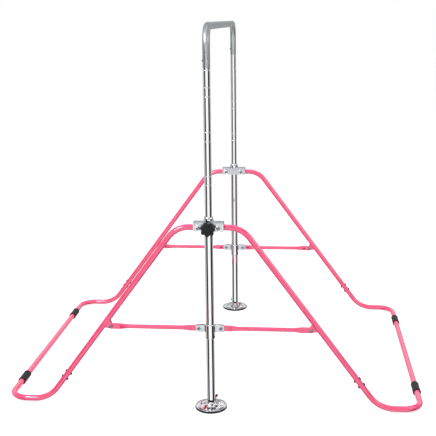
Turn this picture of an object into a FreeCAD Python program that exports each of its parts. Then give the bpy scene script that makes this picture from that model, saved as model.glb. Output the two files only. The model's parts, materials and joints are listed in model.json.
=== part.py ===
"""Folding, height-adjustable gymnastics bar.

Frame: X runs across the splay of the legs, Y along the crossbar, Z up. The origin is
on the floor, midway between the two posts. The near post stands at -Y.
All sizes are in millimetres.
"""
import FreeCAD
import Part
import math
import os
from FreeCAD import Vector

# ---------------------------------------------------------------- driving dimensions
POST_SPACING = 1150.0       # between the axes of the two posts
BAR_AXIS_Z = 1400.0         # height of the crossbar's axis at its highest setting
HEIGHT_STEP = 155.0         # between two height settings
HEIGHT_SETTINGS = 4

POST_R, POST_BORE_R = 16.0, 14.5
INNER_R, INNER_BORE_R = 13.5, 10.5
BAR_R, BAR_BORE_R = 13.5, 12.0
LEG_R, LEG_BORE_R = 11.0, 9.5
BRACE_R, BRACE_BORE_R = 8.0, 6.8

POST_BOTTOM_Z, POST_TOP_Z = 34.0, 731.0
INNER_BOTTOM_Z = 575.0
SEAM_Z = 1258.0             # where the crossbar meets the inner tube
SPIGOT_LENGTH = 45.0
BAR_BEND_R = 60.0
GROOVE_OFFSET = 16.0        # rolled grooves above and below each setting
GROOVE_R, GROOVE_DEPTH = 2.2, 1.0

PIVOT_X, PIVOT_Z = 36.0, 696.0      # leg pivots in the top channel
LEG_ANGLE = math.radians(36.5)      # of the straight leg, from the vertical
LEG_BEND_X = 119.0                  # where the leg's two straight lines meet
LEG_STUB = 14.0                     # leg beyond its pivot
LEG_BEND_R, FOOT_BEND_R, FLOOR_BEND_R = 95.0, 110.0, 70.0
FLOOR_TUBE_Z = 15.0
FLOOR_TUBE_X = 780.0                # of the long run along Y
SPLICE_BACK = 89.0                  # splice seam, up the leg from the floor corner
SPLICE_SPIGOT = 75.0
SPLICE_BOLTS_BACK = (21.0, 48.0)    # bolts, up the leg from the seam

RUNNER_X, RUNNER_Z = 41.0, 314.0    # brace pins on the runner
RUNNER_R, LINER_R = 18.6, 17.2      # liner fills the runner's sleeve
RUNNER_LOW, RUNNER_HIGH = RUNNER_Z - 39.0, RUNNER_Z + 15.0
LOCK_ANGLE = math.radians(49.0)     # of the runner's lock screw, from -Y towards +X
LOCK_Z = RUNNER_Z - 28.0
TAB_OFFSET = 25.0                   # brace pin from the leg's axis

CHANNEL_HALF_X = 55.0
CHANNEL_WALL = 2.0
CHANNEL_INNER_Y = 16.3
CHANNEL_TOP_Z = PIVOT_Z + 21.0
CHANNEL_BOTTOM_Z = PIVOT_Z - 12.0

PIN_R = 4.0
PIN_FIT = 0.05              # radial running clearance
EAR_INNER_Y, EAR_OUTER_Y = 4.5, 7.0
EAR_HALF_Z, EAR_REACH = 13.5, 12.0  # runner ears, round and beyond their pin
FLAT_HALF_Y, FLAT_HALF_Z = 4.0, 11.0
RIVET_BACK = 26.0           # brace end rivet, from the pin
SWELL_BACK = (34.0, 62.0)   # where the flat end swells into the round tube, from the pin
PIN_HEAD_R, PIN_HEAD_HEIGHT = 6.5, 3.5
PIN_NUT_ACROSS, PIN_NUT_HEIGHT = 14.0, 4.5
RIVET_R, RIVET_HEAD_R, RIVET_HEAD_HEIGHT = 2.5, 4.0, 1.6

PIVOT_HEAD_ACROSS, PIVOT_HEAD_HEIGHT = 15.0, 5.0
PIVOT_GAP = 0.3             # between a pivot stub and the leg tube
SPACER_R = 8.0
COLLAR_R = 18.6

STUD_R, STUD_HOLE_R = 5.0, 5.5
STUD_NUT_ACROSS, STUD_NUT_HEIGHT = 20.0, 7.0
KNOB_FRONT, KNOB_BACK = 27.0, 49.0  # faces of the grip, out from the post's axis
KNOB_CORE_R, KNOB_LOBE_R, KNOB_LOBES = 21.0, 6.5, 7
KNOB_TURN = math.radians(185.0)     # of one lobe, from +Z towards +X
KNOB_DISH_R, KNOB_STEP = 10.0, 2.0

DISC_R = 60.0
BALL_Z, BALL_R = 18.0, 8.0
PAD_TOP_Z = 6.0
LEVER_PIVOT_R, LEVER_PIVOT_Z = 25.0, 17.5
LEVER_LENGTH, TRUNNION_R = 27.0, 1.5
LEVER_RISE = 25.0           # degrees above level, at rest
LEVER_ANGLES = {-1: 69.0, 1: 115.0}     # degrees from +X, seen from above, by sign of Y

SLEEVE_LENGTH, SLEEVE_R, SLEEVE_Y = 75.0, 15.6, 388.0

# ---------------------------------------------------------------- directions and ends
X, Y, Z = Vector(1, 0, 0), Vector(0, 1, 0), Vector(0, 0, 1)
ENDS = {"near": -1, "far": 1}       # sign of Y
SIDES = {"left": -1, "right": 1}    # sign of X
POST_Y = POST_SPACING / 2


# ---------------------------------------------------------------- shape helpers
def rod(radius, start, end):
    """A solid cylinder between two points."""
    run = end - start
    return Part.makeCylinder(radius, run.Length, start, run)


def tube(radius, bore, start, end):
    """A hollow cylinder between two points, open at both ends."""
    return rod(radius, start, end).cut(rod(bore, start, end))


def upright(radius, x, y, z_low, z_high):
    """A solid cylinder standing along Z."""
    return rod(radius, Vector(x, y, z_low), Vector(x, y, z_high))


def ring(radius, bore, x, y, z_low, z_high):
    """A hollow cylinder standing along Z."""
    return upright(radius, x, y, z_low, z_high).cut(upright(bore, x, y, z_low, z_high))


def block(low, high):
    """A box between two corners."""
    size = high - low
    return Part.makeBox(size.x, size.y, size.z, low)


def hexagon(across_corners, start, end):
    """A hexagonal prism between two points."""
    run = end - start
    face = Part.Face(Part.makePolygon([
        Vector(across_corners / 2 * math.cos(k * math.pi / 3),
               across_corners / 2 * math.sin(k * math.pi / 3), 0) for k in range(7)]))
    face.Placement = FreeCAD.Placement(start, FreeCAD.Rotation(Z, run))
    return face.extrude(run)


def spin(outline, x, y):
    """Turn an outline of (radius, z) points about the vertical line through x, y."""
    points = [Vector(r, 0, z) for r, z in outline]
    solid = Part.Face(Part.makePolygon(points + points[:1])).revolve(Vector(), Z, 360)
    solid.translate(Vector(x, y, 0))
    return solid


def rounded_path(points, radii):
    """A wire of straight runs joined by tangent arcs, one radius per inner point."""
    edges, start = [], points[0]
    for before, corner, after, radius in zip(points, points[1:], points[2:], radii):
        into, out = (corner - before).normalize(), (after - corner).normalize()
        turn = into.getAngle(out)
        setback = radius * math.tan(turn / 2)
        arc_in, arc_out = corner - into * setback, corner + out * setback
        to_middle = (out - into).normalize()
        middle = corner + to_middle * (radius / math.cos(turn / 2) - radius)
        edges.append(Part.LineSegment(start, arc_in).toShape())
        edges.append(Part.Arc(arc_in, middle, arc_out).toShape())
        start = arc_out
    edges.append(Part.LineSegment(start, points[-1]).toShape())
    return Part.Wire(edges)


def sweep(path, radius):
    """A solid round bar along a path."""
    first = path.Edges[0]
    direction = first.tangentAt(first.FirstParameter)
    start = first.valueAt(first.FirstParameter)
    profile = Part.Wire([Part.makeCircle(radius, start, direction)])
    return path.makePipeShell([profile], True, False)


def bent_tube(points, radii, radius, bore):
    """A bent hollow tube, open at both ends."""
    path = rounded_path(points, radii)
    return sweep(path, radius).cut(sweep(path, bore))


def save(name, *solids):
    """Write one node, which may be a group of separate solids."""
    shape = solids[0] if len(solids) == 1 else Part.makeCompound(list(solids))
    if not shape.isValid():
        raise ValueError(name + " is not a valid shape")
    shape.exportStep("parts/" + name + ".step")
    print("%-24s solids %d  volume %.0f" % (name, len(shape.Solids), shape.Volume))


# ---------------------------------------------------------------- leg line
def leg_point(side, y, back):
    """A point on the straight leg's axis, back up the leg from the floor corner."""
    corner_x = LEG_BEND_X + (PIVOT_Z - FLOOR_TUBE_Z) * math.tan(LEG_ANGLE)
    return Vector(side * (corner_x - back * math.sin(LEG_ANGLE)), y,
                  FLOOR_TUBE_Z + back * math.cos(LEG_ANGLE))


def leg_inward(side):
    """Unit vector square to the leg, towards the post."""
    return Vector(-side * math.cos(LEG_ANGLE), 0, -math.sin(LEG_ANGLE))


def tab_pin_x():
    """Distance of the outer brace pin from the post's axis."""
    leg_x = LEG_BEND_X + (PIVOT_Z - RUNNER_Z) * math.tan(LEG_ANGLE)
    return leg_x - TAB_OFFSET / math.cos(LEG_ANGLE)


# ---------------------------------------------------------------- posts
def post(y, end):
    body = ring(POST_R, POST_BORE_R, 0, y, POST_BOTTOM_Z, POST_TOP_Z)
    knob_hole = rod(STUD_HOLE_R, Vector(0, y, PIVOT_Z), Vector(0, y + end * 30, PIVOT_Z))
    return body.cut(knob_hole)


def collar_ring(y):
    """Domed cap over the top of the post, standing on the channel."""
    lip_r = INNER_R + PIN_FIT + 0.05
    return spin([(POST_R, CHANNEL_TOP_Z), (COLLAR_R, CHANNEL_TOP_Z),
                 (COLLAR_R, CHANNEL_TOP_Z + 6), (COLLAR_R - 0.6, CHANNEL_TOP_Z + 12),
                 (COLLAR_R - 2.0, CHANNEL_TOP_Z + 16), (COLLAR_R - 4.0, POST_TOP_Z + 4),
                 (lip_r, POST_TOP_Z + 4), (lip_r, POST_TOP_Z), (POST_R, POST_TOP_Z)], 0, y)


def guide_bush(y):
    return ring(POST_BORE_R, INNER_R + PIN_FIT, 0, y, PIVOT_Z + 7, POST_TOP_Z)


def channel(y, end):
    """Inverted U channel that holds the tops of two legs."""
    outer_y = CHANNEL_INNER_Y + CHANNEL_WALL
    shell = block(Vector(-CHANNEL_HALF_X, y - outer_y, CHANNEL_BOTTOM_Z),
                  Vector(CHANNEL_HALF_X, y + outer_y, CHANNEL_TOP_Z))
    long_top = [e for e in shell.Edges
                if e.BoundBox.ZMin > CHANNEL_TOP_Z - 1 and e.BoundBox.XLength > CHANNEL_HALF_X]
    shell = shell.makeFillet(3.0, long_top)
    shell = shell.cut(block(
        Vector(-CHANNEL_HALF_X - 1, y - CHANNEL_INNER_Y, CHANNEL_BOTTOM_Z - 1),
        Vector(CHANNEL_HALF_X + 1, y + CHANNEL_INNER_Y, CHANNEL_TOP_Z - CHANNEL_WALL)))
    shell = shell.cut(upright(POST_R, 0, y, CHANNEL_BOTTOM_Z, CHANNEL_TOP_Z + 1))
    for x in (-PIVOT_X, PIVOT_X):
        shell = shell.cut(rod(PIN_R, Vector(x, y - 30, PIVOT_Z), Vector(x, y + 30, PIVOT_Z)))
    return shell.cut(rod(STUD_HOLE_R, Vector(0, y, PIVOT_Z), Vector(0, y + end * 30, PIVOT_Z)))


def pivot_bolt_halves(y):
    """Shouldered stubs, one from each plate, which stop short of the leg tube."""
    plate = CHANNEL_INNER_Y + CHANNEL_WALL
    stubs = []
    for x in (-PIVOT_X, PIVOT_X):
        for way in (-1, 1):
            shank = rod(PIN_R, Vector(x, y + way * (LEG_R + PIVOT_GAP), PIVOT_Z),
                        Vector(x, y + way * plate, PIVOT_Z))
            head = hexagon(PIVOT_HEAD_ACROSS, Vector(x, y + way * plate, PIVOT_Z),
                           Vector(x, y + way * (plate + PIVOT_HEAD_HEIGHT), PIVOT_Z))
            stubs.append(shank.fuse(head))
    return stubs


def pivot_spacers(y):
    return [tube(SPACER_R, PIN_R, Vector(x, y + way * (LEG_R + PIVOT_GAP), PIVOT_Z),
                 Vector(x, y + way * CHANNEL_INNER_Y, PIVOT_Z))
            for x in (-PIVOT_X, PIVOT_X) for way in (-1, 1)]


def knob_nut(y, end):
    plate = y + end * (CHANNEL_INNER_Y + CHANNEL_WALL)
    body = hexagon(STUD_NUT_ACROSS, Vector(0, plate, PIVOT_Z),
                   Vector(0, plate + end * STUD_NUT_HEIGHT, PIVOT_Z))
    return body.cut(rod(STUD_R + PIN_FIT, Vector(0, y, PIVOT_Z), Vector(0, y + end * 40, PIVOT_Z)))


def post_plug(y):
    head = ring(POST_R, STUD_R, 0, y, POST_BOTTOM_Z - 3, POST_BOTTOM_Z)
    return head.fuse(ring(POST_BORE_R, STUD_R, 0, y, POST_BOTTOM_Z, POST_BOTTOM_Z + 28))


def ball_stud(y):
    stem = upright(STUD_R, 0, y, BALL_Z, POST_BOTTOM_Z + 24)
    return stem.fuse(Part.makeSphere(BALL_R, Vector(0, y, BALL_Z)))


# ---------------------------------------------------------------- sliding bar
def crossbar():
    body = bent_tube([Vector(0, -POST_Y, SEAM_Z), Vector(0, -POST_Y, BAR_AXIS_Z),
                      Vector(0, POST_Y, BAR_AXIS_Z), Vector(0, POST_Y, SEAM_Z)],
                     [BAR_BEND_R, BAR_BEND_R], BAR_R, BAR_BORE_R)
    return body.cut([joint_screw(-POST_Y), joint_screw(POST_Y)])


def inner_tube(y):
    """Telescopic tube with a pair of rolled grooves at each height setting."""
    body = ring(INNER_R, INNER_BORE_R, 0, y, INNER_BOTTOM_Z, SEAM_Z)
    body = body.fuse(ring(BAR_BORE_R - PIN_FIT, INNER_BORE_R, 0, y, SEAM_Z,
                          SEAM_Z + SPIGOT_LENGTH)).removeSplitter()
    lowest = PIVOT_Z + GROOVE_OFFSET
    centres = [lowest + k * HEIGHT_STEP for k in range(HEIGHT_SETTINGS)]
    grooves = [c + offset for c in centres for offset in (-GROOVE_OFFSET, GROOVE_OFFSET)] + [SEAM_Z - 6.0]
    for z in grooves:
        body = body.cut(Part.makeTorus(INNER_R + GROOVE_R - GROOVE_DEPTH, GROOVE_R,
                                       Vector(0, y, z), Z))
    return body.cut(joint_screw(y))


def joint_screw(y):
    z = SEAM_Z + 26
    shank = rod(2.5, Vector(-BAR_BORE_R + 1.5, y, z), Vector(-BAR_R, y, z))
    return shank.fuse(rod(4.5, Vector(-BAR_R + 0.6, y, z), Vector(-BAR_R - 2.2, y, z)))


def inner_shoe(y):
    """Glide that guides the foot of the inner tube in the post."""
    head = upright(POST_BORE_R - PIN_FIT, 0, y, INNER_BOTTOM_Z - 14, INNER_BOTTOM_Z)
    return head.fuse(upright(INNER_BORE_R, 0, y, INNER_BOTTOM_Z, INNER_BOTTOM_Z + 24))


# ---------------------------------------------------------------- knobs
def knob(y, end):
    """Star grip, hollowed a little at its centre."""
    front, back = y + end * KNOB_FRONT, y + end * KNOB_BACK
    step = end * KNOB_STEP
    grip = rod(KNOB_CORE_R, Vector(0, front, PIVOT_Z), Vector(0, back, PIVOT_Z))
    for k in range(KNOB_LOBES):
        angle = KNOB_TURN + 2 * math.pi * k / KNOB_LOBES
        x = KNOB_CORE_R * math.sin(angle)
        z = PIVOT_Z + KNOB_CORE_R * math.cos(angle)
        grip = grip.fuse(rod(KNOB_LOBE_R, Vector(x, front + step, z), Vector(x, back - step, z)))
    dish = rod(KNOB_DISH_R, Vector(0, back - step, PIVOT_Z), Vector(0, back, PIVOT_Z))
    socket = rod(STUD_R, Vector(0, front, PIVOT_Z), Vector(0, front + end * 15, PIVOT_Z))
    return grip.cut(dish).cut(socket)


def knob_stud(y, end):
    tip = INNER_R + 0.3
    return rod(STUD_R, Vector(0, y + end * tip, PIVOT_Z), Vector(0, y + end * 42.0, PIVOT_Z))


# ---------------------------------------------------------------- legs and floor tubes
def leg(side, y):
    """Bent upper tube, from its pivot down to the splice seam."""
    body = bent_tube([Vector(side * (PIVOT_X - LEG_STUB), y, PIVOT_Z),
                      Vector(side * LEG_BEND_X, y, PIVOT_Z), leg_point(side, y, SPLICE_BACK)],
                     [LEG_BEND_R], LEG_R, LEG_BORE_R)
    pivot = rod(PIN_R + 0.5, Vector(side * PIVOT_X, y - 20, PIVOT_Z),
                Vector(side * PIVOT_X, y + 20, PIVOT_Z))
    return body.cut([pivot] + splice_bolts(side, y))


def leg_plug(side, y):
    start = Vector(side * (PIVOT_X - LEG_STUB), y, PIVOT_Z)
    return rod(LEG_BORE_R, start, start + X * (side * 6))


def floor_tube(side):
    """Floor loop that joins a near and a far leg, with a spigot up each leg."""
    near, far = (leg_point(side, end * POST_Y, SPLICE_BACK) for end in (-1, 1))
    corners = [near, leg_point(side, -POST_Y, 0),
               Vector(side * FLOOR_TUBE_X, -POST_Y, FLOOR_TUBE_Z),
               Vector(side * FLOOR_TUBE_X, POST_Y, FLOOR_TUBE_Z),
               leg_point(side, POST_Y, 0), far]
    radii = [FOOT_BEND_R, FLOOR_BEND_R, FLOOR_BEND_R, FOOT_BEND_R]
    body = bent_tube(corners, radii, LEG_R, LEG_BORE_R)
    for end in (-1, 1):
        low = leg_point(side, end * POST_Y, SPLICE_BACK - 20)
        seam = leg_point(side, end * POST_Y, SPLICE_BACK)
        top = leg_point(side, end * POST_Y, SPLICE_BACK + SPLICE_SPIGOT)
        body = body.fuse(tube(LEG_BORE_R, 8.0, low, seam))
        body = body.fuse(tube(LEG_BORE_R - PIN_FIT, 8.0, seam, top))
        body = body.cut(splice_bolts(side, end * POST_Y))
    return body


def splice_bolt(side, y, back):
    """Bolt square through the leg, with its head on the upper side."""
    centre, inward = leg_point(side, y, back), leg_inward(side)
    shank = rod(3.0, centre - inward * (LEG_R + 0.2), centre + inward * (LEG_R + 4))
    head = rod(5.5, centre - inward * (LEG_R + 3.2), centre - inward * (LEG_R - 0.6))
    nut = hexagon(11.0, centre + inward * (LEG_R - 0.6), centre + inward * (LEG_R + 3.6))
    return shank.fuse([head, nut])


def splice_bolts(side, y):
    return [splice_bolt(side, y, SPLICE_BACK + back) for back in SPLICE_BOLTS_BACK]


def floor_sleeve(side, y):
    """Rubber sleeve round the floor tube, cut flat where it stands on the floor."""
    x = side * FLOOR_TUBE_X
    start, end = Vector(x, y - SLEEVE_LENGTH / 2, FLOOR_TUBE_Z), Vector(
        x, y + SLEEVE_LENGTH / 2, FLOOR_TUBE_Z)
    below = block(Vector(x - 30, y - SLEEVE_LENGTH, -20), Vector(x + 30, y + SLEEVE_LENGTH, 0))
    return tube(SLEEVE_R, LEG_R, start, end).cut(below)


def tab_plates(side, y):
    """Two pointed plates on the inner side of the leg, either side of the brace."""
    pin = Vector(side * tab_pin_x(), 0, RUNNER_Z)
    inward = leg_inward(side)
    along = Vector(side * math.sin(LEG_ANGLE), 0, -math.cos(LEG_ANGLE))
    root = pin - inward * TAB_OFFSET
    outline = [root + along * 19, pin + along * 9, pin + inward * 9 + along * 4,
               pin + inward * 9 - along * 4, pin - along * 9, root - along * 19]
    plates = []
    for way in (-1, 1):
        low_y = EAR_INNER_Y if way > 0 else -EAR_OUTER_Y
        points = [p + Y * (y + low_y) for p in outline]
        plate = Part.Face(Part.makePolygon(points + points[:1])).extrude(
            Y * (EAR_OUTER_Y - EAR_INNER_Y))
        plate = plate.cut(rod(LEG_R, root + Y * y - along * 40, root + Y * y + along * 40))
        plates.append(plate.cut(rod(PIN_R, pin + Y * (y - 20), pin + Y * (y + 20))))
    return plates


def brace_pin(x, y):
    """Bolt through a pair of plates and a brace end, with a head and a nut."""
    at = Vector(x, y, RUNNER_Z)
    shank = rod(PIN_R, at - Y * EAR_OUTER_Y, at + Y * (EAR_OUTER_Y + 5))
    head = rod(PIN_HEAD_R, at - Y * (EAR_OUTER_Y + PIN_HEAD_HEIGHT), at - Y * EAR_OUTER_Y)
    nut = hexagon(PIN_NUT_ACROSS, at + Y * EAR_OUTER_Y, at + Y * (EAR_OUTER_Y + PIN_NUT_HEIGHT))
    return shank.fuse([head, nut])


# ---------------------------------------------------------------- braces
def brace_end(pin_x, y, way):
    """Flattened end about a pin, and the swell that leads into the round tube."""
    at = Vector(pin_x, y, RUNNER_Z)
    low_x, high_x = sorted((pin_x, pin_x + way * (SWELL_BACK[0] + 4)))
    flat = block(Vector(low_x, y - FLAT_HALF_Y, RUNNER_Z - FLAT_HALF_Z),
                 Vector(high_x, y + FLAT_HALF_Y, RUNNER_Z + FLAT_HALF_Z))
    nose = rod(FLAT_HALF_Z, at - Y * FLAT_HALF_Y, at + Y * FLAT_HALF_Y)
    wires = []
    for x, half_y, half_z in ((SWELL_BACK[0], FLAT_HALF_Y, FLAT_HALF_Z - 0.2),
                              (SWELL_BACK[1], BRACE_R, BRACE_R)):
        circle = Part.makeCircle(1.0, Vector(), X)
        stretch = FreeCAD.Matrix()
        stretch.scale(Vector(1, half_y, half_z))
        outline = circle.transformGeometry(stretch)
        outline.translate(Vector(pin_x + way * x, y, RUNNER_Z))
        wires.append(Part.Wire([outline]))
    swell = Part.makeLoft(wires, True, True)
    hole = rod(PIN_R + PIN_FIT, at - Y * 20, at + Y * 20)
    rivet = at + X * (way * RIVET_BACK)
    rivet_hole = rod(RIVET_R, rivet - Y * 20, rivet + Y * 20)
    return flat.fuse([nose, swell]).cut(hole).cut(rivet_hole)


def brace(side, y):
    inner, outer = side * RUNNER_X, side * tab_pin_x()
    start = Vector(inner + side * SWELL_BACK[1], y, RUNNER_Z)
    end = Vector(outer - side * SWELL_BACK[1], y, RUNNER_Z)
    middle = tube(BRACE_R, BRACE_BORE_R, start, end)
    return middle.fuse([brace_end(inner, y, side), brace_end(outer, y, -side)])


def brace_rivets(side, y):
    """Rivets with their heads on the face that looks at the other post."""
    rivets = []
    for pin_x, way in ((side * RUNNER_X, side), (side * tab_pin_x(), -side)):
        at = Vector(pin_x + way * RIVET_BACK, y, RUNNER_Z)
        shank = rod(RIVET_R, at - Y * FLAT_HALF_Y, at + Y * FLAT_HALF_Y)
        face = Y * (-math.copysign(FLAT_HALF_Y, y))
        head = rod(RIVET_HEAD_R, at + face, at + face * (1 + RIVET_HEAD_HEIGHT / FLAT_HALF_Y))
        rivets.append(shank.fuse(head))
    return rivets


# ---------------------------------------------------------------- runners
def lock_screw_axis(y, distance):
    return Vector(distance * math.sin(LOCK_ANGLE), y - distance * math.cos(LOCK_ANGLE), LOCK_Z)


def runner_sleeve(y):
    body = ring(RUNNER_R, LINER_R, 0, y, RUNNER_LOW, RUNNER_HIGH)
    return body.cut(rod(3.0, lock_screw_axis(y, 0), lock_screw_axis(y, 30)))


def runner_liner(y):
    body = ring(LINER_R, POST_R + PIN_FIT, 0, y, RUNNER_LOW, RUNNER_HIGH)
    return body.cut(rod(3.0, lock_screw_axis(y, 0), lock_screw_axis(y, 30)))


def runner_ears(y):
    """Two pairs of plates on the runner that hold the inner ends of the braces."""
    plates = []
    for side in (-1, 1):
        for way in (-1, 1):
            low_y, high_y = sorted((y + way * EAR_INNER_Y, y + way * EAR_OUTER_Y))
            low_x, high_x = sorted((side * 10.0, side * (RUNNER_X + EAR_REACH)))
            plate = block(Vector(low_x, low_y, RUNNER_Z - EAR_HALF_Z),
                          Vector(high_x, high_y, RUNNER_Z + EAR_HALF_Z))
            corners = [e for e in plate.Edges
                       if e.BoundBox.YLength > 1 and abs(e.BoundBox.XMax) > RUNNER_X
                       and e.BoundBox.XLength < 1 and e.BoundBox.ZLength < 1
                       and abs(e.BoundBox.XMin) > RUNNER_X]
            plate = plate.makeFillet(3.0, corners)
            plate = plate.cut(upright(RUNNER_R, 0, y, RUNNER_LOW, RUNNER_HIGH))
            plates.append(plate.cut(rod(PIN_R, Vector(side * RUNNER_X, y - 20, RUNNER_Z),
                                        Vector(side * RUNNER_X, y + 20, RUNNER_Z))))
    return plates


def lock_screw(y):
    shank = rod(3.0, lock_screw_axis(y, POST_R + 0.3), lock_screw_axis(y, RUNNER_R + 1))
    return shank.fuse(rod(4.5, lock_screw_axis(y, RUNNER_R + 0.3), lock_screw_axis(y, RUNNER_R + 3)))


# ---------------------------------------------------------------- feet
def foot_disc(y):
    """Stamped saucer with a raised hub, open below the hub's ball socket."""
    saucer = spin([(0, PAD_TOP_Z), (DISC_R, PAD_TOP_Z), (DISC_R, 8.0), (57.0, 9.5), (46.0, 10.5),
                   (30.0, 11.0), (22.0, 14.0), (17.0, 22.0), (13.0, 25.5), (0, 25.5)], 0, y)
    socket = Part.makeSphere(BALL_R + 0.4, Vector(0, y, BALL_Z))
    mouth = Part.makeCone(5.6, 7.6, 9.0, Vector(0, y, BALL_Z), Z)
    saucer = saucer.cut(socket).cut(mouth)
    for k in range(3):
        saucer = saucer.cut(disc_slot(y, math.radians(50 + 120 * k)))
        angle = math.radians(-10 + 120 * k)
        at = Vector(37 * math.cos(angle), y + 37 * math.sin(angle), PAD_TOP_Z - 1)
        saucer = saucer.cut(Part.makeCylinder(3.5, 12, at, Z))
    return saucer.fuse(lever_lugs(y))


def disc_slot(y, angle):
    """Slot through the saucer, square to the radius at this angle."""
    ends = [Vector(38, across, PAD_TOP_Z - 1) for across in (-7.0, 7.0)]
    slot = block(ends[0] - X * 2.5, ends[1] + X * 2.5 + Z * 12)
    slot = slot.fuse([Part.makeCylinder(2.5, 12, at, Z) for at in ends])
    slot.rotate(Vector(), Z, math.degrees(angle))
    slot.translate(Vector(0, y, 0))
    return slot


def foot_pad(y):
    return spin([(0, 0), (55.0, 0), (58.5, 2.0), (58.5, PAD_TOP_Z), (0, PAD_TOP_Z)], 0, y)


def to_lever(shape, y):
    """Turn a shape drawn along +X to where the foot's lever points."""
    shape.rotate(Vector(), Z, LEVER_ANGLES[int(math.copysign(1, y))])
    shape.translate(Vector(0, y, 0))
    return shape


def lever_lugs(y):
    """Two small lugs on the saucer that carry the lever's trunnions."""
    lugs = []
    for low_y in (-6.5, 4.5):
        lug = block(Vector(LEVER_PIVOT_R - 3, low_y, 9.5),
                    Vector(LEVER_PIVOT_R + 3, low_y + 2.0, LEVER_PIVOT_Z))
        top = rod(3.0, Vector(LEVER_PIVOT_R, low_y, LEVER_PIVOT_Z),
                  Vector(LEVER_PIVOT_R, low_y + 2.0, LEVER_PIVOT_Z))
        hole = rod(TRUNNION_R + PIN_FIT, Vector(LEVER_PIVOT_R, -9, LEVER_PIVOT_Z),
                   Vector(LEVER_PIVOT_R, 9, LEVER_PIVOT_Z))
        lugs.append(to_lever(lug.fuse(top).cut(hole), y))
    return lugs


def foot_lever(y):
    """Small strip lever with a thicker tip and a trunnion at each side."""
    pivot = Vector(LEVER_PIVOT_R, 0, LEVER_PIVOT_Z)
    strip = block(pivot + Vector(0, -3.5, -1), pivot + Vector(LEVER_LENGTH, 3.5, 1))
    tip = block(pivot + Vector(LEVER_LENGTH - 8, -4.5, -2.5),
                pivot + Vector(LEVER_LENGTH + 1, 4.5, 2.5))
    tip = tip.makeFillet(1.5, tip.Edges)
    knuckle = rod(2.6, pivot - Y * 4, pivot + Y * 4)
    trunnions = rod(TRUNNION_R, pivot - Y * 6.5, pivot + Y * 6.5)
    lever = knuckle.fuse([strip, tip, trunnions])
    lever.rotate(pivot, Y, -LEVER_RISE)
    return to_lever(lever, y)


# ---------------------------------------------------------------- build everything
def build():
    os.makedirs("parts", exist_ok=True)
    ys = {name: sign * POST_Y for name, sign in ENDS.items()}
    for name, y in ys.items():
        end = ENDS[name]
        save(name + "_post", post(y, end))
        save(name + "_channel", channel(y, end))
        save(name + "_inner_tube", inner_tube(y))
        save(name + "_knob", knob(y, end))
        save(name + "_knob_stud", knob_stud(y, end))
        save(name + "_runner_sleeve", runner_sleeve(y))
        save(name + "_runner_liner", runner_liner(y))
        save(name + "_runner_ears", *runner_ears(y))
        save(name + "_runner_lock_screw", lock_screw(y))
        save(name + "_runner_pins", *[brace_pin(s * RUNNER_X, y) for s in SIDES.values()])
        save(name + "_foot_disc", foot_disc(y))
        save(name + "_foot_pad", foot_pad(y))
        save(name + "_foot_lever", foot_lever(y))
        for side_name, side in SIDES.items():
            save("%s_%s_brace" % (name, side_name), brace(side, y))
            save("%s_%s_brace_rivets" % (name, side_name), *brace_rivets(side, y))
            save("%s_%s_leg" % (name, side_name), leg(side, y))
    save("crossbar", crossbar())
    save("joint_screws", *[joint_screw(y) for y in ys.values()])
    save("inner_shoes", *[inner_shoe(y) for y in ys.values()])
    save("collar_rings", *[collar_ring(y) for y in ys.values()])
    save("guide_bushes", *[guide_bush(y) for y in ys.values()])
    save("knob_nuts", *[knob_nut(ys[n], ENDS[n]) for n in ys])
    save("pivot_bolts", *[b for y in ys.values() for b in pivot_bolt_halves(y)])
    save("pivot_spacers", *[s for y in ys.values() for s in pivot_spacers(y)])
    save("post_plugs", *[post_plug(y) for y in ys.values()])
    save("ball_studs", *[ball_stud(y) for y in ys.values()])
    for side_name, side in SIDES.items():
        save(side_name + "_floor_tube", floor_tube(side))
        save(side_name + "_floor_sleeves",
             *[floor_sleeve(side, s * SLEEVE_Y) for s in (-1, 1)])
        save(side_name + "_tabs", *[p for y in ys.values() for p in tab_plates(side, y)])
        save(side_name + "_tab_pins", *[brace_pin(side * tab_pin_x(), y) for y in ys.values()])
        save(side_name + "_splice_bolts",
             *[b for y in ys.values() for b in splice_bolts(side, y)])
        save(side_name + "_leg_plugs", *[leg_plug(side, y) for y in ys.values()])


build()
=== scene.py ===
"""Folding gymnastics bar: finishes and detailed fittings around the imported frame.

Run it as a script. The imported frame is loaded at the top, the operators below build or
finish one group of pieces each, and main() calls them in order.
"""
import json
import math

import bmesh
import bpy
from bpy.props import FloatProperty, FloatVectorProperty, IntProperty, PointerProperty
from mathutils import Matrix, Vector

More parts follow.
